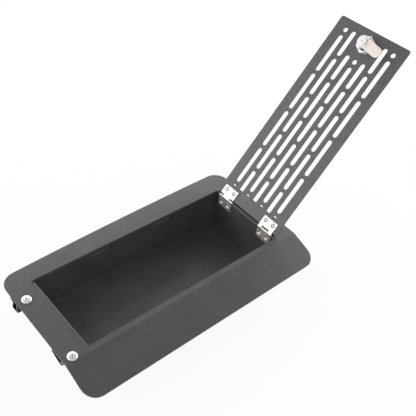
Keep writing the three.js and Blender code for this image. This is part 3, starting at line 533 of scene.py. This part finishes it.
slotMaterials = {
    "powder_coat": platePaint,
    "lid_coat": lidPaint,
    "box_coat": boxPaint,
    "nickel": nickel,
    "cam_steel": camMetal,
    "black_spring": blackSteel,
}
record = frame["record"]
nodeSlots = {part["node"]: part["material_slot"] for part in record["subparts"]}
nodeBodies = {node: body for body, members in record["behaviour"]["bodies"].items() for node in members}


# Mesh helpers
def makeObject(shape, name):
    bmesh.ops.recalc_face_normals(shape, faces=shape.faces)
    mesh = bpy.data.meshes.new(name)
    shape.to_mesh(mesh)
    shape.free()
    made = bpy.data.objects.new(name, mesh)
    scene.collection.objects.link(made)
    return made


def settle(piece):
    bpy.context.view_layer.update()
    view = bpy.context.evaluated_depsgraph_get()
    settled = bpy.data.meshes.new_from_object(piece.evaluated_get(view))
    piece.modifiers.clear()
    old = piece.data
    piece.data = settled
    bpy.data.meshes.remove(old)


def combine(piece, operation, shape):
    tool = makeObject(shape, "tool")
    step = piece.modifiers.new("combine", "BOOLEAN")
    step.operation = operation
    step.solver = "EXACT"
    step.object = tool
    settle(piece)
    mesh = tool.data
    bpy.data.objects.remove(tool)
    bpy.data.meshes.remove(mesh)


def turned(profile, steps, ring=False):
    shape = bmesh.new()
    corners = [shape.verts.new(metres(radius, 0, height)) for radius, height in profile]
    edges = [shape.edges.new(pair) for pair in zip(corners, corners[1:])]
    if ring:
        edges.append(shape.edges.new((corners[-1], corners[0])))
    bmesh.ops.spin(
        shape, geom=corners + edges, cent=(0, 0, 0), axis=(0, 0, 1), angle=2 * math.pi,
        steps=steps, use_merge=True, use_duplicate=False)
    bmesh.ops.remove_doubles(shape, verts=shape.verts, dist=0.001 * mm)
    return shape


def rod(radius, low, high, steps, turn=0.0, place=(0, 0)):
    shape = bmesh.new()
    middle = shifted(*place, (low + high) / 2) @ swung(turn, "Z")
    bmesh.ops.create_cone(
        shape, cap_ends=True, cap_tris=False, segments=steps, radius1=radius * mm,
        radius2=radius * mm, depth=(high - low) * mm, matrix=middle)
    return shape


def block(low, high, turn=0.0, taper=1.0):
    shape = bmesh.new()
    middle = [(a + b) / 2 for a, b in zip(low, high)]
    size = [b - a for a, b in zip(low, high)]
    bmesh.ops.create_cube(shape, size=1.0)
    for corner in shape.verts:
        if corner.co.z < 0:
            corner.co.x *= taper
            corner.co.y *= taper
    bmesh.ops.scale(shape, vec=metres(*size), verts=shape.verts)
    bmesh.ops.translate(shape, vec=metres(*middle), verts=shape.verts)
    bmesh.ops.rotate(shape, cent=(0, 0, 0), matrix=swung(turn, "Z").to_3x3(), verts=shape.verts)
    return shape


def arc(radius, height, base, steps, start=0.0):
    turns = [math.radians(start + (90.0 - start) * k / steps) for k in range(steps + 1)]
    return [(radius * math.cos(turn), base + height * math.sin(turn)) for turn in turns]


def threads(crest, root, low, high, pitch):
    count = int((high - low) / pitch)
    points = []
    for k in range(count):
        start = low + k * pitch
        points += [(crest, start), (crest, start + 0.2 * pitch), (root, start + 0.6 * pitch)]
    return points + [(root, high)]


# Faces whose middle passes isInside, in millimetres of the piece's own frame, get the second coat
def finishPiece(
        piece, node, place=None, edge=0.1, segments=2, sharp=30, coat=None, inside=None,
        isInside=None):
    marked = [face.index for face in piece.data.polygons if inside and isInside(face.center / mm)]
    if place is not None:
        piece.data.transform(place)
    piece.data.materials.clear()
    piece.data.materials.append(coat or slotMaterials[nodeSlots[node]])
    for face in piece.data.polygons:
        face.use_smooth = True
        face.material_index = 0
    if inside:
        piece.data.materials.append(inside)
        for index in marked:
            piece.data.polygons[index].material_index = 1
    bevel = piece.modifiers.new("edges", "BEVEL")
    bevel.width = edge * mm
    bevel.segments = segments
    bevel.limit_method = "ANGLE"
    bevel.angle_limit = math.radians(sharp)
    bevel.profile = 0.5
    bevel.material = -1
    bevel.use_clamp_overlap = True
    shading = piece.modifiers.new("shading", "WEIGHTED_NORMAL")
    shading.weight = 100
    shading.keep_sharp = False
    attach(piece, nodeBodies[node])
    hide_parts(node)


# Sheet pieces keep the CAD form, merged, with their cut edges rounded as the coat rounds them. A
# cut, given as a spot and a direction, parts the faces there for a second coat
def dressSheet(node, name, cut=None):
    shape = bmesh.new()
    shape.from_mesh(frame["nodes"][node].data)
    bmesh.ops.remove_doubles(shape, verts=shape.verts, dist=0.002 * mm)
    bmesh.ops.dissolve_limit(
        shape, angle_limit=math.radians(0.3), verts=shape.verts, edges=shape.edges,
        use_dissolve_boundaries=False, delimit=set())
    if cut:
        spot, across = cut
        bmesh.ops.bisect_plane(
            shape, geom=shape.verts[:] + shape.edges[:] + shape.faces[:], dist=0.001 * mm,
            plane_co=spot, plane_no=across)
    return makeObject(shape, name)


sheetEdges = {
    "face_plate": ("facePlate", 0.30),
    "tray_channel": ("boxChannel", 0.30),
    "end_wall_lock": ("lockEndWall", 0.30),
    "end_wall_hinge": ("hingeEndWall", 0.30),
    "lock_stop_disc": ("lockStopDisc", 0.12),
}
for node, (name, edge) in sheetEdges.items():
    finishPiece(dressSheet(node, name), node, edge=edge, sharp=35)
print("sheet pieces dressed")


# Frames of the moving groups, as they stand in the photograph: the lid open, the cam unlocked
placeValues = {
    "pin": (149.25, 0.0, 59.0),
    "lidOpen": 130.6,
    "lockFromPin": -278.6,
    "camTurn": 100.0,
    "hingeY": 39.3,
    "holeFromPin": 11.9,
    "holeSpacing": 13.8,
}
pinPlace = shifted(*placeValues["pin"])
lidPlace = pinPlace @ swung(placeValues["lidOpen"], "Y")
lockPlace = lidPlace @ shifted(placeValues["lockFromPin"], 0, 0)
camPlace = lockPlace @ swung(placeValues["camTurn"], "Z")
hingeSides = (("far", placeValues["hingeY"]), ("near", -placeValues["hingeY"]))

# Lid panel, with a near-black painted shade on its inner face along the hinge edge, where the gap under the
# knuckles lies in shade
lidValues = {"edge": 0.22, "paintedShadeFrom": -3.5, "innerHalf": 0.5}


def makeLidPanel(values):
    line = lidPlace @ metres(values["paintedShadeFrom"], 0, 0)
    across = lidPlace.to_3x3() @ Vector((1, 0, 0))
    panel = dressSheet("lid_panel", "lidPanel", (line, across))
    closed = lidPlace.inverted()

    def isPaintedShade(spot):
        own = closed @ (spot * mm) / mm
        return own.x > values["paintedShadeFrom"] and own.z < values["innerHalf"]

    finishPiece(panel, "lid_panel", edge=values["edge"], sharp=35, inside=hingeGapPaintedShade, isInside=isPaintedShade)


makeLidPanel(lidValues)


# Hinge leaves: one strip of plated sheet, its end rolled round the pin, with the knuckles of the
# other leaf cut out of it
leafValues = {
    "reach": 17.3,
    "width": 25.0,
    "corner": 1.5,
    "sheet": 0.95,
    "outside": 1.7,
    "roll": 286.0,
    "rollSteps": 22,
    "notch": 3.5,
    "centre": 12.0,
    "gap": 0.3,
    "rivetHole": 2.85,
    "screwHole": 1.7,
    "edge": 0.14,
}


def makeLeaf(node, name, values, centreOwn, holeRadius, place, coat):
    shape = bmesh.new()
    middle = values["outside"] - values["sheet"] / 2
    half = values["width"] / 2
    line = [shape.verts.new(metres(x, -half, -middle)) for x in (-values["reach"], -values["notch"], 0.0)]
    for pair in zip(line, line[1:]):
        shape.edges.new(pair)
    bmesh.ops.spin(
        shape, geom=[line[-1]], cent=(0, 0, 0), axis=(0, 1, 0), angle=-math.radians(values["roll"]),
        steps=values["rollSteps"], use_merge=False, use_duplicate=False)
    inner = values["centre"] / 2 + (0.0 if centreOwn else values["gap"])
    front = shape.edges[:]
    for step in (half - inner, 2 * inner, half - inner):
        grown = bmesh.ops.extrude_edge_only(shape, edges=front)["geom"]
        fresh = [part for part in grown if isinstance(part, bmesh.types.BMVert)]
        front = [part for part in grown if isinstance(part, bmesh.types.BMEdge)
                 and all(end in fresh for end in part.verts)]
        bmesh.ops.translate(shape, vec=metres(0, step, 0), verts=fresh)
    cut = []
    for face in shape.faces:
        middleOfFace = face.calc_center_median() / mm
        inCentre = abs(middleOfFace.y) < inner
        if middleOfFace.x > -values["notch"] and inCentre != centreOwn:
            cut.append(face)
    bmesh.ops.delete(shape, geom=cut, context="FACES")
    corners = [corner for corner in shape.verts
               if corner.co.x < (0.01 - values["reach"]) * mm and abs(corner.co.y) > (half - 0.01) * mm]
    bmesh.ops.bevel(
        shape, geom=corners, offset=values["corner"] * mm, offset_type="OFFSET", segments=4,
        affect="VERTICES", profile=0.5, material=-1)
    leaf = makeObject(shape, name)
    wall = leaf.modifiers.new("wall", "SOLIDIFY")
    wall.thickness = values["sheet"] * mm
    wall.offset = 0.0
    wall.use_even_offset = True
    settle(leaf)
    for side in (-0.5, 0.5):
        spot = (-placeValues["holeFromPin"], side * placeValues["holeSpacing"])
        combine(leaf, "DIFFERENCE", rod(holeRadius, -values["outside"] - 1, 0.5, 40, place=spot))
    leaf.data.transform(place)
    if place.determinant() < 0:
        leaf.data.flip_normals()
    pin = placeValues["pin"]

    # The rolled knuckle takes the painted highlight coat
    def isKnuckle(spot):
        return math.hypot(spot.x - pin[0], spot.z - pin[2]) < values["outside"] + 0.1

    finishPiece(
        leaf, node, edge=values["edge"], sharp=40, coat=coat, inside=knucklePaintedHighlight, isInside=isKnuckle)


upright = Matrix(((0, 0, 1, 0), (0, 1, 0, 0), (1, 0, 0, 0), (0, 0, 0, 1)))
for side, y in hingeSides:
    centreOnLid = side == "far"
    across = shifted(0, y, 0)
    lidSide = lidPlace @ across
    boxSide = pinPlace @ across @ upright
    makeLeaf(
        side + "_hinge_lid_leaf", side + "HingeLidLeaf", leafValues, centreOnLid,
        leafValues["rivetHole"], lidSide, leafPlate)
    makeLeaf(
        side + "_hinge_box_leaf", side + "HingeBoxLeaf", leafValues, not centreOnLid,
        leafValues["screwHole"], boxSide, boxLeafPaintedReflection)
print("hinge leaves made")


# Hinge pins with heads set over at both ends
pinValues = {"radius": 0.7, "head": 1.3, "inside": 12.55, "headHeight": 0.4, "edge": 0.06}


def makePin(node, name, values, y):
    inside, radius = values["inside"], values["radius"]
    cap = arc(values["head"], values["headHeight"], inside, 4)
    cap[-1] = (0.0, inside + values["headHeight"])
    under = [(r, -z) for r, z in reversed(cap)]
    shape = turned([*under, (radius, -inside), (radius, inside), *cap], 24)
    along = pinPlace @ shifted(0, y, 0) @ swung(90, "X")
    finishPiece(makeObject(shape, name), node, along, edge=values["edge"])


for side, y in hingeSides:
    makePin(side + "_hinge_pin", side + "HingePin", pinValues, y)


# Rivets: set flush into the leaf inside the lid, with a dimple from the punch, domed outside
rivetValues = {
    "flushHead": 2.15,
    "proud": 0.04,
    "dimple": 1.1,
    "dimpleDepth": 0.2,
    "shank": 1.6,
    "dome": 2.6,
    "domeHeight": 0.9,
    "leafFace": -1.7,
    "leafBack": -0.8,
    "lidFace": 1.05,
    "domeGap": 0.05,
    "edge": 0.05,
}


def makeRivet(node, name, values, y):
    low = values["leafFace"] - values["proud"]
    head = values["flushHead"]
    base = values["lidFace"] + values["domeGap"]
    cap = arc(values["dome"], values["domeHeight"], base, 6, 8.0)
    cap[-1] = (0.0, base + values["domeHeight"])
    profile = [
        (0.0, low + values["dimpleDepth"]),
        (0.6 * values["dimple"], low + 0.8 * values["dimpleDepth"]),
        (values["dimple"], low),
        (head - 0.15, low),
        (head, low + 0.12),
        (values["shank"], values["leafBack"]),
        (values["shank"], values["lidFace"]),
        (values["dome"] - 0.1, values["lidFace"]),
        *cap,
    ]
    place = lidPlace @ shifted(-placeValues["holeFromPin"], y, 0)
    finishPiece(makeObject(turned(profile, 36), name), node, place, edge=values["edge"], coat=rivetSteel)


# Cross head screws: turned head and thread, the recess cut as two tapered bars, and on the clamp
# screws a faint ring turned in the head
wallScrewValues = {
    "head": 2.9,
    "height": 2.3,
    "straight": 0.8,
    "shank": 1.45,
    "root": 1.22,
    "pitch": 0.5,
    "length": 7.0,
    "crossReach": 1.75,
    "crossWidth": 0.75,
    "crossDepth": 1.25,
    "crossTaper": 0.55,
    "groove": 0.0,
    "steps": 36,
    "edge": 0.06,
}
clampScrewValues = {
    "head": 6.0,
    "height": 2.6,
    "straight": 0.9,
    "shank": 3.0,
    "root": 2.55,
    "pitch": 1.0,
    "length": 17.5,
    "crossReach": 1.9,
    "crossWidth": 0.9,
    "crossDepth": 1.2,
    "crossTaper": 0.7,
    "groove": 0.2,
    "grooveAt": 5,
    "grooveHalf": 0.2,
    "steps": 48,
    "edge": 0.06,
}


def makeScrew(node, name, values, place, coat):
    head, height, shank = values["head"], values["height"], values["shank"]
    cap = arc(head, height - values["straight"], values["straight"], 8)
    cap[-1] = (0.0, height)
    ring = 0.0
    if values["groove"]:
        at, half = values["grooveAt"], values["grooveHalf"]
        ring, level = cap[at]
        cap[at:at + 1] = [
            (ring + half, level - 0.07),
            (ring, level - values["groove"]),
            (ring - half, level + 0.05),
        ]
    chamfer = 0.3 * shank
    thread = threads(shank, values["root"], chamfer - values["length"], -values["pitch"], values["pitch"])
    profile = [(0.0, -values["length"]), (shank - chamfer, -values["length"]), *thread]
    profile += [(values["root"], 0.0), (head - 0.2, 0.0), (head, 0.2), *cap]
    screw = makeObject(turned(profile, values["steps"]), name)
    reach, half = values["crossReach"], values["crossWidth"] / 2
    for turn in (0.0, 90.0):
        low, high = (-reach, -half, height - values["crossDepth"]), (reach, half, height + 0.5)
        bar = block(low, high, turn, values["crossTaper"])
        combine(screw, "DIFFERENCE", bar)
    bottom = height - 0.2 * values["crossDepth"]

    # Faces in the cross recess and the ring groove take the dark painted shade
    def isPaintedShade(spot):
        inCross = spot.xy.length < reach and 0.3 < spot.z < bottom
        inRing = ring > 0 and spot.z > 1.0 and abs(spot.xy.length - ring) < 0.15
        return inCross or inRing

    finishPiece(
        screw, node, place, edge=values["edge"], coat=coat, inside=recessPaintedShade, isInside=isPaintedShade)


# Hexagon nuts, chamfered at both ends, on the hinge screws outside the wall
nutValues = {"flats": 5.5, "height": 2.4, "hole": 1.5, "chamfer": 0.35, "turn": 30.0, "edge": 0.06}


def makeHexagon(name, profile, ring, flats, low, high, turn, steps=72):
    nut = makeObject(turned(profile, steps, ring), name)
    combine(nut, "INTERSECT", rod(flats / math.sqrt(3), low - 1, high + 1, 6, turn))
    return nut


def makeWallNut(node, name, values, place):
    high, hole, chamfer = values["height"], values["hole"], values["chamfer"]
    flat = values["flats"] / 2 - 0.05
    corner = values["flats"] / math.sqrt(3) + 0.1
    profile = [
        (hole, chamfer),
        (hole + chamfer, 0.0),
        (flat, 0.0),
        (corner, chamfer),
        (corner, high - chamfer),
        (flat, high),
        (hole + chamfer, high),
        (hole, high - chamfer),
    ]
    nut = makeHexagon(name, profile, True, values["flats"], 0.0, high, values["turn"], 48)
    finishPiece(nut, node, place, edge=values["edge"], sharp=25)


wallValues = {"screwX": 147.5, "nutX": 150.3, "z": 47.1, "turn": 23.0, "turnStep": 31.0}
outwards = swung(90, "Y")
inwards = swung(-90, "Y")
for side, y in hingeSides:
    for number, share in ((1, -0.5), (2, 0.5)):
        across = y + share * placeValues["holeSpacing"]
        makeRivet(f"{side}_hinge_rivet_{number}", f"{side}HingeRivet{number}", rivetValues, across)
        turn = swung(wallValues["turn"] + wallValues["turnStep"] * number + y, "Z")
        screwPlace = shifted(wallValues["screwX"], across, wallValues["z"]) @ inwards @ turn
        makeScrew(
            f"{side}_hinge_screw_{number}", f"{side}HingeScrew{number}", wallScrewValues, screwPlace,
            zincWithWarmReflection)
        nutPlace = shifted(wallValues["nutX"], across, wallValues["z"]) @ outwards
        makeWallNut(f"{side}_hinge_nut_{number}", f"{side}HingeNut{number}", nutValues, nutPlace)
print("rivets, hinge screws and nuts made")

clampPlaces = (("far", (-168.5, 36.6, 60.05), 20), ("near", (-168.5, -60.5, 60.05), 62))
for side, place, turn in clampPlaces:
    standing = shifted(*place) @ swung(turn, "Z")
    makeScrew("clamp_screw_" + side, side + "ClampScrew", clampScrewValues, standing, clearZinc)
print("clamp screws made")

# Spring clips: a bent strip under the rim, cut back beside the screw. Each line is given along Y
# from its screw, and down from the underside of the face plate
clipValues = {
    "sheet": 1.5,
    "bend": 0.9,
    "under": 58.45,
    "outer": (-180.35, -172.4),
    "inner": (-172.9, -158.3),
    "screwHole": 3.4,
    "litFoldBelow": 57.0,
    "edge": 0.12,
}
clipLines = {
    "near": {
        "outer": [(22.9, 0.75), (4.0, 0.75), (3.0, 8.6), (6.2, 8.7), (14.5, 6.4), (23.0, 2.9)],
        "inner": [(21.9, 0.75), (-4.4, 0.75), (-4.4, 7.3), (3.5, 7.3), (21.9, 3.3)],
        "litFoldTo": -172.5,
    },
    "far": {
        "outer": [
            (16.9, 0.75), (2.6, 0.75), (1.7, 15.2), (12.8, 15.9), (12.8, 12.2), (9.6, 5.0), (16.4, 2.5),
        ],
        "inner": [(16.8, 0.75), (-10.2, 0.75), (-9.0, 4.6), (1.4, 13.4), (11.7, 12.1), (10.4, 3.7)],
        "litFoldTo": -180.2,
    },
}


def bentStrip(name, line, y, low, high, sheet):
    shape = bmesh.new()
    places = [metres(low, y + along, clipValues["under"] - down) for along, down in line]
    corners = [shape.verts.new(place) for place in places]
    edges = [shape.edges.new(pair) for pair in zip(corners, corners[1:])]
    grown = bmesh.ops.extrude_edge_only(shape, edges=edges)["geom"]
    fresh = [part for part in grown if isinstance(part, bmesh.types.BMVert)]
    bmesh.ops.translate(shape, vec=metres(high - low, 0, 0), verts=fresh)
    bends = [edge for edge in shape.edges if len(edge.link_faces) == 2]
    bmesh.ops.bevel(
        shape, geom=bends, offset=clipValues["bend"] * mm, offset_type="OFFSET", segments=4,
        affect="EDGES", profile=0.5, material=-1)
    strip = makeObject(shape, name)
    wall = strip.modifiers.new("wall", "SOLIDIFY")
    wall.thickness = sheet * mm
    wall.offset = 0.0
    wall.use_even_offset = True
    settle(strip)
    return strip


def makeClip(side, y, lines, values):
    clip = bentStrip(side + "SpringClip", lines["outer"], y, *values["outer"], values["sheet"])
    back = bentStrip("back", lines["inner"], y, *values["inner"], values["sheet"] - 0.1)
    shape = bmesh.new()
    shape.from_mesh(back.data)
    mesh = back.data
    bpy.data.objects.remove(back)
    bpy.data.meshes.remove(mesh)
    combine(clip, "UNION", shape)
    combine(clip, "DIFFERENCE", rod(values["screwHole"], 30, 59, 32, place=(clampPlaces[0][1][0], y)))
    fold, foldEnd = (lines["outer"][k][0] + y for k in (1, 2))

    # The lower outer part of the fold takes the grey painted highlight
    def isLitFold(spot):
        onFold = foldEnd - values["bend"] < spot.y < fold + 0.5
        return spot.x < lines["litFoldTo"] and onFold and spot.z < values["litFoldBelow"]

    finishPiece(clip, "clamp_clip_" + side, edge=values["edge"], inside=foldPaintedHighlight, isInside=isLitFold)


for side, place, turn in clampPlaces:
    makeClip(side, place[1], clipLines[side], clipValues)
print("spring clips made")


# Lock body: flange with a rolled edge and a threaded barrel, its end cut back for the stop tab
lockValues = {
    "flange": 11.0,
    "face": 1.05,
    "front": 2.85,
    "rolled": 0.7,
    "barrel": 8.6,
    "root": 8.15,
    "pitch": 1.25,
    "end": -12.3,
    "bore": 5.6,
    "steps": 72,
    "stopInside": 6.1,
    "stopTop": -10.5,
    "stopFrom": -16.0,
    "stopSweep": 132.0,
    "edge": 0.08,
}


def makeLockBody(values):
    front, end, bore, barrel = values["front"], values["end"], values["bore"], values["barrel"]
    rolled = values["rolled"]
    edge = [(values["flange"] - rolled + r, z) for r, z in arc(rolled, rolled, front - rolled, 5)]
    profile = [
        (bore, end),
        (barrel - 0.5, end),
        *threads(barrel, values["root"], end + 0.4, values["face"] - 0.6, values["pitch"]),
        (values["root"], values["face"]),
        (values["flange"] - 0.3, values["face"]),
        (values["flange"], values["face"] + 0.3),
        *edge,
        (bore + 1.3, front),
        (bore + 0.5, front - 0.35),
        (bore, front - 0.6),
    ]
    body = makeObject(turned(profile, values["steps"], True), "lockBody")
    cut = bmesh.new()
    low, high = end - 1, values["stopTop"]
    stop, outside = values["stopInside"], barrel + 1
    places = [(stop, low), (outside, low), (outside, high), (stop, high)]
    corners = [cut.verts.new(metres(r, 0, z)) for r, z in places]
    start = cut.faces.new(corners)
    bmesh.ops.rotate(
        cut, cent=(0, 0, 0), matrix=swung(values["stopFrom"], "Z").to_3x3(), verts=corners)
    bmesh.ops.spin(
        cut, geom=[start], cent=(0, 0, 0), axis=(0, 0, 1), angle=math.radians(values["stopSweep"]),
        steps=24, use_merge=False, use_duplicate=False)
    combine(body, "DIFFERENCE", cut)

    # The threaded barrel takes the near-black painted shade
    def isThread(spot):
        onBarrel = values["root"] - 0.25 < spot.xy.length < barrel + 0.1
        return onBarrel and end + 0.2 < spot.z < values["face"] - 0.1

    finishPiece(
        body, "lock_body", lockPlace, edge=values["edge"], inside=threadPaintedShade, isInside=isThread)


makeLockBody(lockValues)

# Thin washer under the lock nut
washerValues = {"inside": 8.75, "outside": 12.1, "low": -1.05, "high": -0.55, "edge": 0.12}
washerProfile = [
    (washerValues["inside"], washerValues["low"]),
    (washerValues["outside"], washerValues["low"]),
    (washerValues["outside"], washerValues["high"]),
    (washerValues["inside"], washerValues["high"]),
]
washer = makeObject(turned(washerProfile, 72, True), "lockWasher")
finishPiece(washer, "lock_washer", lockPlace, edge=washerValues["edge"])

# Lock nut: wide flat hexagon, chamfered on its free side
lockNutValues = {
    "flats": 22.9,
    "hole": 8.7,
    "start": -1.1,
    "end": -5.5,
    "chamfer": 0.9,
    "lead": 0.5,
    "edge": 0.15,
}


def makeLockNut(values):
    start, end, hole, lead = values["start"], values["end"], values["hole"], values["lead"]
    flat = values["flats"] / 2 - 0.15
    corner = values["flats"] / math.sqrt(3) + 0.15
    profile = [
        (hole, end + lead),
        (hole + lead, end),
        (flat, end),
        (corner, end + values["chamfer"]),
        (corner, start),
        (hole + lead, start),
        (hole, start - lead),
    ]
    nut = makeHexagon("lockNut", profile, True, values["flats"], end, start, 30.0)

    # The nut's sides take the blue-grey painted shade
    def isSide(spot):
        return spot.xy.length > flat - 0.1 and end + values["chamfer"] < spot.z < start - 0.1

    finishPiece(
        nut, "lock_nut", lockPlace, edge=values["edge"], sharp=20, coat=nutZinc, inside=nutSidePaintedShade,
        isInside=isSide)


makeLockNut(lockNutValues)

# Lock plug: its face lies in the flange, with the keyway and its ward, and its square end in the cam
plugValues = {
    "radius": 5.5,
    "front": 2.55,
    "shoulder": -12.35,
    "end": -15.45,
    "drive": 3.5,
    "driveCorner": 0.8,
    "keyway": (0.5, 3.25, 8.4),
    "ward": (0.8, 0.2, 1.6),
    "edge": 0.08,
}


def makePlug(values):
    radius, front = values["radius"], values["front"]
    profile = [
        (0.0, values["shoulder"]),
        (radius, values["shoulder"]),
        (radius, front - 0.3),
        (radius - 0.3, front),
        (0.0, front),
    ]
    plug = makeObject(turned(profile, 64), "lockPlug")
    half = values["drive"]
    drive = block((-half, -half, values["end"]), (half, half, values["shoulder"] + 1))
    uprights = [edge for edge in drive.edges if abs(edge.verts[0].co.z - edge.verts[1].co.z) > mm]
    bmesh.ops.bevel(
        drive, geom=uprights, offset=values["driveCorner"] * mm, offset_type="OFFSET", segments=4,
        affect="EDGES", profile=0.5, material=-1)
    combine(plug, "UNION", drive)
    wide, tall, deep = values["keyway"]
    combine(plug, "DIFFERENCE", block((-wide, -tall, front - deep), (wide, tall, front + 1)))
    out, low, high = values["ward"]
    combine(plug, "DIFFERENCE", block((-out, low, front - deep), (0.1, high, front + 1)))
    combine(plug, "DIFFERENCE", block((-0.1, -high, front - deep), (out, -low, front + 1)))
    finishPiece(plug, "lock_plug", camPlace, edge=values["edge"])


makePlug(plugValues)

# Lock cam: a sheared and tumbled strip with a round base
camValues = {
    "low": -15.5,
    "high": -13.5,
    "base": 8.4,
    "half": 7.2,
    "reach": 31.6,
    "tip": 6.0,
    "edge": 0.4,
}


def makeCam(values):
    low, high, half = values["low"], values["high"], values["half"]
    arm = block((-values["reach"], -half, low), (0.0, half, high))
    tips = [edge for edge in arm.edges
            if abs(edge.verts[0].co.z - edge.verts[1].co.z) > mm and edge.verts[0].co.x < -mm]
    bmesh.ops.bevel(
        arm, geom=tips, offset=values["tip"] * mm, offset_type="OFFSET", segments=12,
        affect="EDGES", profile=0.5, material=-1)
    cam = makeObject(rod(values["base"], low, high, 72), "lockCam")
    combine(cam, "UNION", arm)
    finishPiece(cam, "lock_cam", camPlace, edge=values["edge"], segments=3)


makeCam(camValues)

# Cam bolt: hexagon head with a shallow dish
boltValues = {
    "flats": 10.0,
    "under": -15.55,
    "end": -18.15,
    "chamfer": 0.7,
    "dish": 3.1,
    "dishDepth": 0.11,
    "dot": 0.38,
    "edge": 0.12,
}


def makeCamBolt(values):
    under, end, dish = values["under"], values["end"], values["dish"]
    flat = values["flats"] / 2 - 0.15
    corner = values["flats"] / math.sqrt(3) + 0.15
    profile = [
        (0.0, end + values["dishDepth"]),
        (values["dot"] * dish, end + 0.9 * values["dishDepth"]),
        (0.74 * dish, end + 0.45 * values["dishDepth"]),
        (dish, end),
        (flat, end),
        (corner, end + values["chamfer"]),
        (corner, under),
        (0.0, under),
    ]
    bolt = makeHexagon("camBolt", profile, False, values["flats"], end, under, 42.0)

    def isDot(spot):
        return spot.xy.length < values["dot"] * dish and spot.z < end + 0.5

    finishPiece(
        bolt, "lock_cam_bolt", camPlace, edge=values["edge"], sharp=20, coat=whiteZinc,
        inside=tealZinc, isInside=isDot)


makeCamBolt(boltValues)
print("lock made")


# Floor, backdrop and light
stageValues = {
    "floorSize": 8.0,
    "floorColour": (0.86, 0.86, 0.86),
    "floorGlow": 0.93,
    "fadeFrom": 0.9,
    "fadeTo": 2.2,
    "worldStrength": 0.10,
    "worldSheen": 0.30,
}


def makeFloor(values):
    shape = bmesh.new()
    bmesh.ops.create_grid(shape, x_segments=1, y_segments=1, size=values["floorSize"] / 2)
    bmesh.ops.translate(shape, vec=metres(0, 0, -0.1), verts=shape.verts)
    mesh = bpy.data.meshes.new("floor")
    shape.to_mesh(mesh)
    shape.free()
    floor = bpy.data.objects.new("floor", mesh)
    scene.collection.objects.link(floor)
    material, tree = newMaterial("whiteFloor")
    matt = addNode(tree, "ShaderNodeBsdfDiffuse")
    matt.inputs["Color"].default_value = (*values["floorColour"], 1.0)
    glow = addNode(tree, "ShaderNodeEmission")
    rays = addNode(tree, "ShaderNodeLightPath")
    seen = math2(tree, "MAXIMUM", rays.outputs["Is Camera Ray"], rays.outputs["Is Glossy Ray"])
    seen = math2(tree, "MAXIMUM", seen, rays.outputs["Is Transmission Ray"])
    distance = addNode(tree, "ShaderNodeVectorMath", operation="LENGTH")
    tree.links.new(addNode(tree, "ShaderNodeTexCoord").outputs["Object"], distance.inputs[0])
    fade = spread(
        tree, distance.outputs["Value"], values["fadeFrom"], values["fadeTo"], values["floorGlow"], 1.0)
    mix = addNode(tree, "ShaderNodeMixShader")
    tree.links.new(math2(tree, "MULTIPLY", seen, fade), mix.inputs[0])
    tree.links.new(matt.outputs[0], mix.inputs[1])
    tree.links.new(glow.outputs[0], mix.inputs[2])
    clear = addNode(tree, "ShaderNodeBsdfTransparent")  # from below, the floor doesn't hide the box
    below = addNode(tree, "ShaderNodeNewGeometry").outputs["Backfacing"]
    show = addNode(tree, "ShaderNodeMixShader")
    result = addNode(tree, "ShaderNodeOutputMaterial")
    tree.links.new(math2(tree, "MULTIPLY", below, rays.outputs["Is Camera Ray"]), show.inputs[0])
    tree.links.new(mix.outputs[0], show.inputs[1])
    tree.links.new(clear.outputs[0], show.inputs[2])
    tree.links.new(show.outputs[0], result.inputs["Surface"])
    mesh.materials.append(material)


def makeWorld(values):
    world = bpy.data.worlds.new("studio")
    scene.world = world
    world.use_nodes = True
    tree = world.node_tree
    tree.nodes.clear()
    rays = addNode(tree, "ShaderNodeLightPath")
    light = spread(
        tree, rays.outputs["Is Glossy Ray"], 0.0, 1.0, values["worldStrength"], values["worldSheen"])
    light = math2(tree, "MAXIMUM", light, rays.outputs["Is Camera Ray"])
    sky = addNode(tree, "ShaderNodeBackground")
    result = addNode(tree, "ShaderNodeOutputWorld")
    sky.inputs["Color"].default_value = (1.0, 1.0, 1.0, 1.0)
    tree.links.new(light, sky.inputs["Strength"])
    tree.links.new(sky.outputs[0], result.inputs["Surface"])


lampValues = [
    {
        "name": "backPanel",
        "place": (0.2, 1.6, 0.85),
        "towards": (0.2, 0.0, 0.85),
        "size": (3.0, 1.7),
        "power": 41.5,
    },
    {
        "name": "rightPanel",
        "place": (1.6, 0.2, 0.85),
        "towards": (0.0, 0.2, 0.85),
        "size": (2.6, 1.7),
        "power": 25.0,
    },
    {
        "name": "leftPanel",
        "place": (-1.8, 0.8, 1.3),
        "towards": (0.0, 0.8, 1.3),
        "size": (2.4, 2.6),
        "power": 30.0,
    },
    {
        "name": "right",
        "place": (1.6, 0.0, 0.8),
        "towards": (0.0, 0.0, 0.05),
        "size": (1.0, 1.0),
        "power": 10.5,
    },
    {
        "name": "front",
        "place": (-0.3, -1.5, 1.0),
        "towards": (0.0, 0.0, 0.05),
        "size": (1.0, 1.0),
        "power": 7.0,
    },
    {
        "name": "low",
        "place": (-1.2, 1.0, 0.7),
        "towards": (0.0, 0.0, 0.05),
        "size": (1.0, 1.0),
        "power": 2.4,
    },
]


def makeLamp(values):
    data = bpy.data.lights.new(values["name"], "AREA")
    data.shape = "RECTANGLE"
    data.size, data.size_y = values["size"]
    data.energy = values["power"]
    lamp = bpy.data.objects.new(values["name"], data)
    scene.collection.objects.link(lamp)
    aim = Vector(values["towards"]) - Vector(values["place"])
    facing = aim.to_track_quat("-Z", "Y").to_matrix().to_4x4()
    lamp.matrix_world = Matrix.Translation(values["place"]) @ facing


makeFloor(stageValues)
makeWorld(stageValues)
for values in lampValues:
    makeLamp(values)
scene.view_settings.view_transform = "Standard"
print("floor, world and lamps made")
